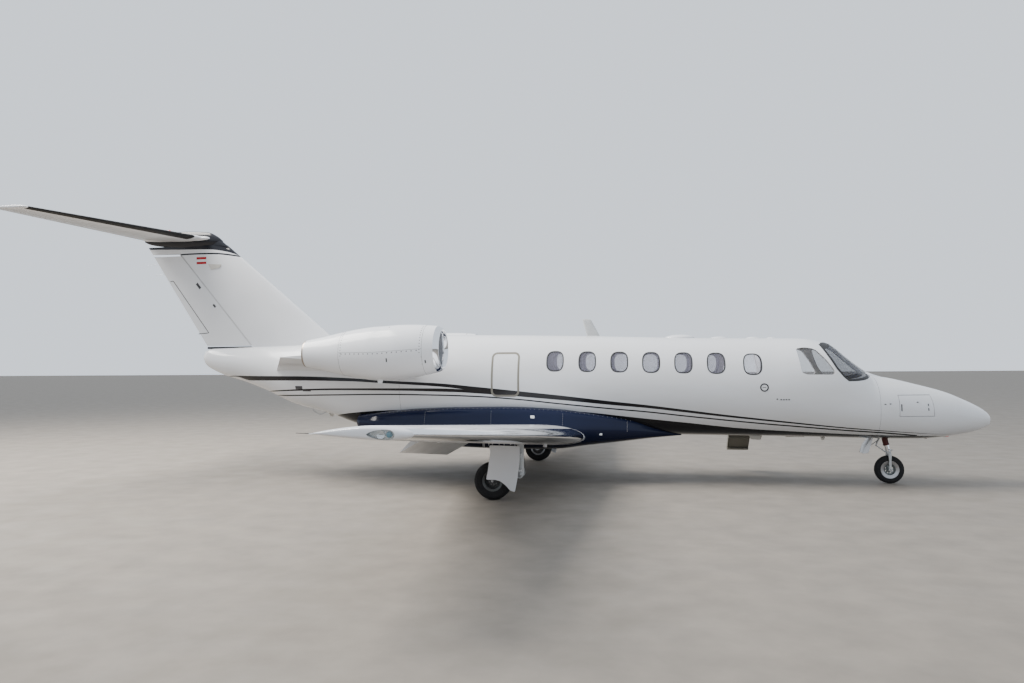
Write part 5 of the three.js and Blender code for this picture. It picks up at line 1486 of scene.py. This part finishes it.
# Cabin and cockpit
def pad(centre, half, crown=.1, pull=.03, power=7.0, steps=14, channels=(), depth=.008):
    """Crowned cushion whose sides pull in between its corners, with sewn channels across it."""
    grid = np.linspace(-1, 1, steps + 1)
    u, v = np.meshgrid(grid, grid, indexing="ij")
    points, faces = [], []
    for axis in range(3):
        for sign in (-1, 1):
            face = np.zeros((steps + 1, steps + 1, 3))
            face[..., axis], face[..., (axis + 1) % 3], face[..., (axis + 2) % 3] = sign, u, v
            start = len(points) * (steps + 1) ** 2
            points.append(face.reshape(-1, 3))
            for i in range(steps):
                for k in range(steps):
                    a = start + i * (steps + 1) + k
                    quad = (a, a + steps + 1, a + steps + 2, a + 1)
                    faces.append(quad if sign > 0 else quad[::-1])
    p = np.vstack(points)
    p = p / (np.abs(p) ** power).sum(1)[:, None] ** (1 / power)
    x, y, z = p.T
    soft = (1 - x ** 2) * (1 - y ** 2)
    lift = z * (1 + crown * soft)
    for c in channels:
        lift = lift - np.sign(z) * depth / half[2] * np.exp(-((x - c) / .05) ** 2) * (1 - y ** 8)
    p = np.stack([x * (1 - pull * (1 - y ** 2)), y * (1 - pull * (1 - x ** 2)), lift], 1)
    mesh = bmesh.new()
    verts = [mesh.verts.new(q * half) for q in p]
    for face in faces:
        mesh.faces.new([verts[i] for i in face])
    bmesh.ops.remove_doubles(mesh, verts=mesh.verts[:], dist=1e-5)
    return shape_of(mesh).moved(*centre)


def build_seat(name, x, y, facing, stands=(), pilot=False):
    """Seat turned to face ahead or back. Its pads and its frame are two pieces."""
    place = Matrix.Translation((x, y, FLOOR_Z)) @ Matrix.Diagonal((facing, 1, 1, 1))
    cushion = pad((.02, 0, .315), (.24, .19, .075), .16, .03, channels=(-.62, -.3, .02, .34), depth=.009)
    lean = Matrix.Rotation(math.radians(-86), 4, "Y")
    back = pad((0, 0, 0), (.3, .185, .052), .18, .03, channels=(-.55, -.2, .15, .5),
        depth=.008).at(Matrix.Translation((-.235, 0, .62)) @ lean)
    head = pad((0, 0, 0), (.085, .135, .045), .2, .04, 6, 10).at(Matrix.Translation((-.222, 0, .885)) @ lean)
    arms = 0
    for s in (1, -1):
        arms += pad((-.02, s * .172, .5), (.17, .024, .022), .12, .0, 5, 8)
    pads = (cushion + back + head + arms).at(place)
    thing = add(f"{name}_pads", pads, "leather", stands=stands, angle=70)
    stand = block((-.19, .19), (-.085, .085), (.006, .05), .008) + block((-.15, .15), (-.06, .06),
        (.045, .23), .02)
    stand += block((-.2, .22), (-.17, .17), (.22, .245), .01)
    stand += prism(soft_corners([(-.26, .26), (-.2, .26), (-.27, .93), (-.31, .93)], .02), "xz", -.15, .15,
        .006)
    for s in (1, -1):
        stand += block((-.18, .13), (s * .172 - .012, s * .172 + .012), (.24, .485), .008)
    if pilot:
        stand += rod((.2, -.1, .2), (.2, .1, .2), .008, slot=1)
    add(f"{name}_frame", stand.at(place), ["plastic", "steel"])


def build_inside():
    for name, side in SIDES.items():
        for k, (x, facing) in enumerate(((3.02, -1), (1.75, 1), (.72, 1))):
            build_seat(f"seat_{k + 1}_{name}", x, side * .37, facing, [f"cabin_seats_{name}"])
        build_seat(f"pilot_seat_{name}", 4.7, side * .31, 1, ["cockpit_seats"], True)
        rails = block((.5, 3.26), (side * .37 - .03, side * .37 - .012), (1.0105, 1.03), .003)
        rails += block((.5, 3.26), (side * .37 + .012, side * .37 + .03), (1.0105, 1.03), .003)
        add(f"seat_rails_{name}", rails, "steel")
        ledge = prism(soft_corners([(.56, 1.56), (.735, 1.6), (.735, 1.64), (.6, 1.64), (.56, 1.61)], .02),
            "yz", -1.2, 3.4)
        add(f"side_ledge_{name}", on_side(ledge, side), "beige")
    tracks = block((4.6, 4.78), (-.4, .4), (1.0105, 1.035), .004)
    add("pilot_seat_track", tracks, "steel")
    # Instrument panel with blank screens
    panel = block((5.335, 5.388), (-.555, .555), (1.335, 1.66), .012)
    panel += block((5.285, 5.388), (-.088, .088), (1.012, 1.4), .012)
    shield = prism(soft_corners([(5.3325, 1.645), (5.3325, 1.69), (5.42, 1.7), (5.557, 1.69), (5.557, 1.67),
        (5.4, 1.645)], .015), "xz", -.497, .497, .006)
    screens, knobs = 0, 0
    for y in (-.36, 0, .36):
        screens += block((5.325, 5.34), (y - .14, y + .14), (1.4, 1.6), .004)
        for k in range(5):
            knobs += rod((5.322, y - .1 + k * .05, 1.385), (5.34, y - .1 + k * .05, 1.385), .006, sides=12)
    for s in (1, -1):
        knobs += rod((5.34, s * .31, 1.36), (5.1, s * .31, 1.4), .014)
        knobs += pipe([(5.1, s * .31 - .12, 1.49), (5.1, s * .31 - .11, 1.42), (5.1, s * .31, 1.4),
            (5.1, s * .31 + .11, 1.42), (5.1, s * .31 + .12, 1.49)], .013)
    for y in (-.03, .03):
        knobs += rod((5.32, y, 1.39), (5.27, y, 1.5), .007) + rod((5.27, y - .014, 1.5),
            (5.27, y + .014, 1.5), .011)
    add("panel_board", panel, "plastic", stands=["instrument_panel"])
    add("panel_glareshield", shield, "black")
    add("panel_screens", screens, "screen")
    add("panel_controls", knobs, "brake")
    # A carpet on the floor
    carpet = carve(block((-1.7, 5.25), (-.75, .75), (1.0102, 1.018), 0), [body_loft(5.9, -1.85, WALL + .004,
        ROOM_SIDES, .12)], "INTERSECT")
    add("cabin_carpet", carpet, "carpet")
    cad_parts["cabin_floor"].data.materials[0] = M["plastic"]


# Entry door fittings and steps
def build_entry():
    x, y = DOOR_HINGE
    down = swung((x, y, 0), (0, 0, -1), DOOR_OPEN)
    fixed, turning = 0, 0
    for z in (1.33, 1.7):
        fixed += rod((x, y, z), (x, y, z + .06), .013) + block((x, x + .03), (y - .06, y + .006),
            (z, z + .06), .003)
        low = z + .0603
        turning += rod((x, y, low), (x, y, low + .06), .013)
        turning += block((x - .03, x), (y - .06, y + .006), (low, low + .06), .003)
    add("door_hinges", fixed, "steel")
    add("door_hinge_arms", turning.at(down), "steel", "entry_door")
    trim = carve(skin_band(4.5, 3.5, .0705, .088), [door_sweep(.045)], "INTERSECT")
    trim = carve(trim, [block((3.85, 4.1), (.3, 1), (1.46, 1.56), .02)])
    add("door_trim", trim.at(down), "beige", "entry_door", angle=50)
    grip = pipe([(3.87, .69, 1.51), (3.9, .672, 1.51), (4.04, .672, 1.51), (4.08, .69, 1.51)], .009, 12)
    for z in (1.15, 1.4, 1.75, 2.0):
        bolt_y = float(skin_y(3.72, z)) - .05
        tip = x - math.sqrt(.6395 ** 2 - (y - bolt_y) ** 2)
        grip += rod((tip + .03, bolt_y, z), (tip, bolt_y, z), .009)
    add("door_grip", grip.at(down), "steel", "entry_door")
    handle = block((3.78, 3.9), (float(skin_y(3.84, 1.55)) - .004, float(skin_y(3.84, 1.55)) + .006),
        (1.535, 1.56), .004)
    add("door_handle", handle.at(down), "steel", "entry_door")
    # Steps below the sill
    back, front = 3.79, 4.165
    line = soft_corners([(.56, .985), (.72, .985), (1.33, .44), (1.33, .395), (1.23, .395), (.62, .93),
        (.56, .93)], .012)
    stair = []
    for a, b in ((back, back + .025), (front - .025, front)):
        stair.append(prism(line, "yz", a, b, .003))
    stair.append(prism([(1.23, .395), (1.238, .406), (.628, .941), (.62, .93)], "yz", back + .002,
        front - .002, 0))
    for ty, tz in ((.8, .85), (1.01, .66), (1.23, .44)):
        stair.append(block((back + .002, front - .002), (ty - .09, ty + .1), (tz - .028, tz), .005))
        for k in range(6):
            stair.append(block((back + .03, front - .03), (ty - .07 + k * .028, ty - .06 + k * .028),
                (tz - .002, tz + .002), 0, slot=1))
    room = body_loft(4.6, 3.4, -.0003)
    stair = total(carve(s, [room]) for s in stair)
    # The steps take the stair colour, which holds painted shade
    add("airstair_steps", stair, ["stair", "rubber"], stands=["airstair"])
    cable = pipe([(4.15, .8, 1.02), (4.155, 1.0, .87), (4.15, 1.3, .47)], .004, 8)
    add("airstair_cable", cable, "steel")


# Marks that lie on the body's skin
def skin_patch(outline, side, lift):
    x, z = np.array(outline).T
    y = skin_y(x, z)
    return on_side(loft([np.stack([x, y + out, z], 1) for out in (-.004, lift)]), side)


def skin_ribbon(line, width, side):
    line = [np.array(p, float) for p in line]
    rings = []
    for i, p in enumerate(line):
        off = across(way_along(line, i), width)
        (xa, za), (xb, zb) = p - off, p + off
        ya, yb = float(skin_y(xa, za)), float(skin_y(xb, zb))
        rings.append([(xa, ya + .0006, za), (xb, yb + .0006, zb), (xb, yb - .004, zb), (xa, ya - .004, za)])
    return on_side(loft(rings), side)


def hoop(x, width):
    """Panel line right round the body at a station."""
    rings = []
    for t in np.linspace(0, 2 * math.pi, 96):
        ring = []
        for u, out in ((x - width / 2, .0006), (x + width / 2, .0006), (x + width / 2, -.004),
                (x - width / 2, -.004)):
            crown, keel, half, square, wide = section(u)
            c, s = [math.copysign(abs(v) ** (2 / float(square)), v) for v in (math.cos(t), math.sin(t))]
            high = crown - wide if s > 0 else wide - keel
            ring.append((u, (half + out) * c, wide + (high + out) * s))
        rings.append(ring)
    return loft(rings)


def dome(x, y, z, long, wide, tall, up=1):
    rings = []
    for t in np.linspace(0, math.pi / 2, 9):
        r, h = math.cos(t), math.sin(t)
        rings.append([(x + long / 2 * max(r, .01) * math.cos(k), y + wide / 2 * max(r, .01) * math.sin(k),
            z + up * (tall * h)) for k in turns(40)])
    base = [[(px, py, z - up * .03) for px, py, _ in rings[0]]]
    return loft(base + rings)


def build_details():
    top = lambda x: float(section(x)[0])
    keel = lambda x: float(section(x)[1])
    tall = soft_corners([(1.3, top(1.3) - .02), (1.54, top(1.54) - .02), (1.365, 2.785), (1.22, 2.79)], .03)
    white = blade(tall, 0, .022).painted(1)
    white += dome(1.42, 0, top(1.42) - .004, .34, .07, .012)
    for x, long, wide, high in ((2.9, .52, .3, .055), (3.56, .3, .16, .03), (4.12, .24, .12, .026),
            (4.42, .18, .1, .02)):
        white += dome(x, 0, top(x) - .012, long, wide, high + .012)
    add("crown_aerials", white, ["white", "gear"], angle=50)
    low = 0
    for outline, soft, y, thick in (([(4.56, keel(4.6) + .02), (4.98, keel(4.9) + .02), (4.92, .747),
            (4.63, .745)], .02, 0, .06), ([(5.17, .77), (5.26, .77), (5.24, .7), (5.2, .7)], .01, 0, .02),
            ([(7.03, .81), (7.13, .82), (7.12, .765), (7.08, .765)], .01, 0, .02), ([(4.01, .79), (4.25, .79),
            (4.22, .69), (4.06, .7)], .02, 0, .02), ([(-3.54, 1.15), (-3.42, 1.12), (-3.43, 1.05),
            (-3.49, 1.05)], .01, 0, .016), ([(6.82, .76), (6.9, .765), (6.89, .72), (6.85, .72)], .01, .15,
            .016)):
        low += blade(soft_corners(outline, soft), y, thick)
    add("belly_aerials", low, "beige", angle=50)
    bulb = lathe([(.001, -.022), (.02, -.02), (.03, -.008), (.032, .01)], (7.14, 0, .79), "z", 24)
    bulb += dome(-.35, 0, .53, .12, .1, .045, -1)
    add("belly_lamps", bulb, "red_lens", angle=60)
    wire = pipe([(-3.84, 0, 1.215), (-3.83, 0, 1.17), (-3.74, 0, 1.1), (-3.66, 0, 1.095), (-3.55, 0, 1.15),
        (-3.5, 0, 1.17)], .006, 8)
    add("tail_wire_aerial", wire, "grey")

    # Round port low on the right side, behind the cockpit
    x, z = 4.175, 1.596
    y = float(skin_y(x, z))
    port = lathe([(.067, y - .01), (.067, y + .002), (.062, y + .004), (.048, y + .003), (.045, y - .012)],
        (x, 0, z), "y", 40, hollow=True)
    disc = lathe([(.045, y - .012), (.044, y - .004), (.03, y - .001), (.028, y - .006), (.001, y - .006)],
        (x, 0, z), "y", 40, 1)
    slot = block((x - .03, x + .03), (y - .006, y + .001), (z - .005, z + .005), .002, slot=2)
    add("service_port", on_side(port + disc + slot, -1), ["plastic", "rivet_dark", "line"])
    small = 0
    for px, pz in ((4.37, 1.41), (4.43, 1.402), (4.47, 1.402), (4.51, 1.402), (4.55, 1.402)):
        small += skin_patch(oval(px, pz, .028, .02, 2, 12), -1, .003)
    for px, pz in ((6.1, 1.33), (6.53, 1.355), (6.02, 1.325)):
        small += skin_patch(oval(px, pz, .034, .016, 2, 12), -1, .004)
    for px, pz in ((6.275, 1.275), (6.7, 1.28)):
        for s in (1, -1):
            small += skin_patch(rounded([px - .009, px + .009], [pz - .06, pz + .05], .006, 3), s, .003)
    for xs, zs in (([-3.94, -3.79], [1.572, 1.628]), ([-3.79, -3.62], [1.53, 1.55])):
        small += skin_patch(rounded(xs, zs, .006, 3), -1, .002)
    add("skin_fittings", small, "rivet_dark")
    # Panel lines
    lines = hoop(-1.9003, .003) + hoop(5.95, .0025)
    for s in (1, -1):
        lines += skin_ribbon([(x, 1.02) for x in np.linspace(-1.9, -3.1, 20)], .003, s)
    add("body_panel_lines", lines, "line")
    # Rivets along the belly fairing's top edge and down its joints
    dots = 0
    spots = [(x, float(FAIRING(x)[2]) - .012) for x in np.arange(2.2, -2.2, -.075)]
    for x in (-.25, .95, 2.0, -1.4):
        low, _, top_z = FAIRING(x)
        spots += [(x, low + (top_z - low) * (.5 + .42 * k / 8)) for k in range(9)]
    for x, z in spots:
        y = fairing_y(x, z)
        dots += rod((x, y - .01, z), (x, y + .003, z), .0045, sides=8, bevel=0)
    add("fairing_rivets", dots + dots.mirrored(), "rivet")
    glow = 0
    for x, z, wide in ((.45, 1.115, .034), (1.57, .83, .024)):
        y = fairing_y(x, z)
        glow += block((x - wide, x + wide), (y - .03, y + .008), (z - wide * .7, z + wide * .7), .006)
    add("fairing_lamps", glow + glow.mirrored(), "lamp")
    # Centre post
    post = pipe([(5.96, 0, 1.79), (5.7, 0, 1.985), (5.5, 0, 2.155), (5.32, 0, 2.308)], .016, 12)
    add("windshield_post", post, "white")
    # Pale base at the foot of the windshield
    rings = []
    for x, high, wide in ((6.16, 0, .03), (6.1, .012, .12), (6.02, .03, .2), (5.94, .048, .25),
            (5.9, .03, .25)):
        z = float(section(x)[0])
        rings.append([(x, wide * u, z - .03 - .12 * u * u + (high + .03) * (1 - u * u))
            for u in np.linspace(-1, 1, 21)] + [(x, wide * u, z - .08 - .12 * u * u)
            for u in np.linspace(1, -1, 21)])
    add("windshield_foot", loft(rings), "white", angle=60)


build_inside()
build_entry()
build_details()

# Floor, light and sky
HALF_FLOOR = 900
corners = [(x * HALF_FLOOR, y * HALF_FLOOR, -.001) for x, y in ((-1, -1), (1, -1), (1, 1), (-1, 1))]
floor = to_object("studio_floor", Shape(corners, [(0, 1, 2, 3)]), [worn("studio_floor", (.23, .205, .175), .9,
    grain=4).mat])
world = bpy.data.worlds.new("studio")
bpy.context.scene.world = world
world.use_nodes = True
sky = world.node_tree.nodes["Background"].inputs
sky["Color"].default_value, sky["Strength"].default_value = (.84, .91, 1, 1), 1.25

# One soft lamp above the tail
KEY_PLACE, KEY_TARGET, KEY_SIZE, KEY_WATTS, KEY_COLOUR = Vector((-13, -2, 16)), Vector((0, 0,
    1)), 12, 10000, (1, .96, .9)
light = bpy.data.lights.new("key", "AREA")
light.shape, light.size, light.energy, light.color = "SQUARE", KEY_SIZE, KEY_WATTS, KEY_COLOUR
key = bpy.data.objects.new("key", light)
bpy.context.collection.objects.link(key)
key.matrix_world = Matrix.Translation(KEY_PLACE) @ (KEY_TARGET - KEY_PLACE).to_track_quat("-Z",
    "Y").to_matrix().to_4x4()
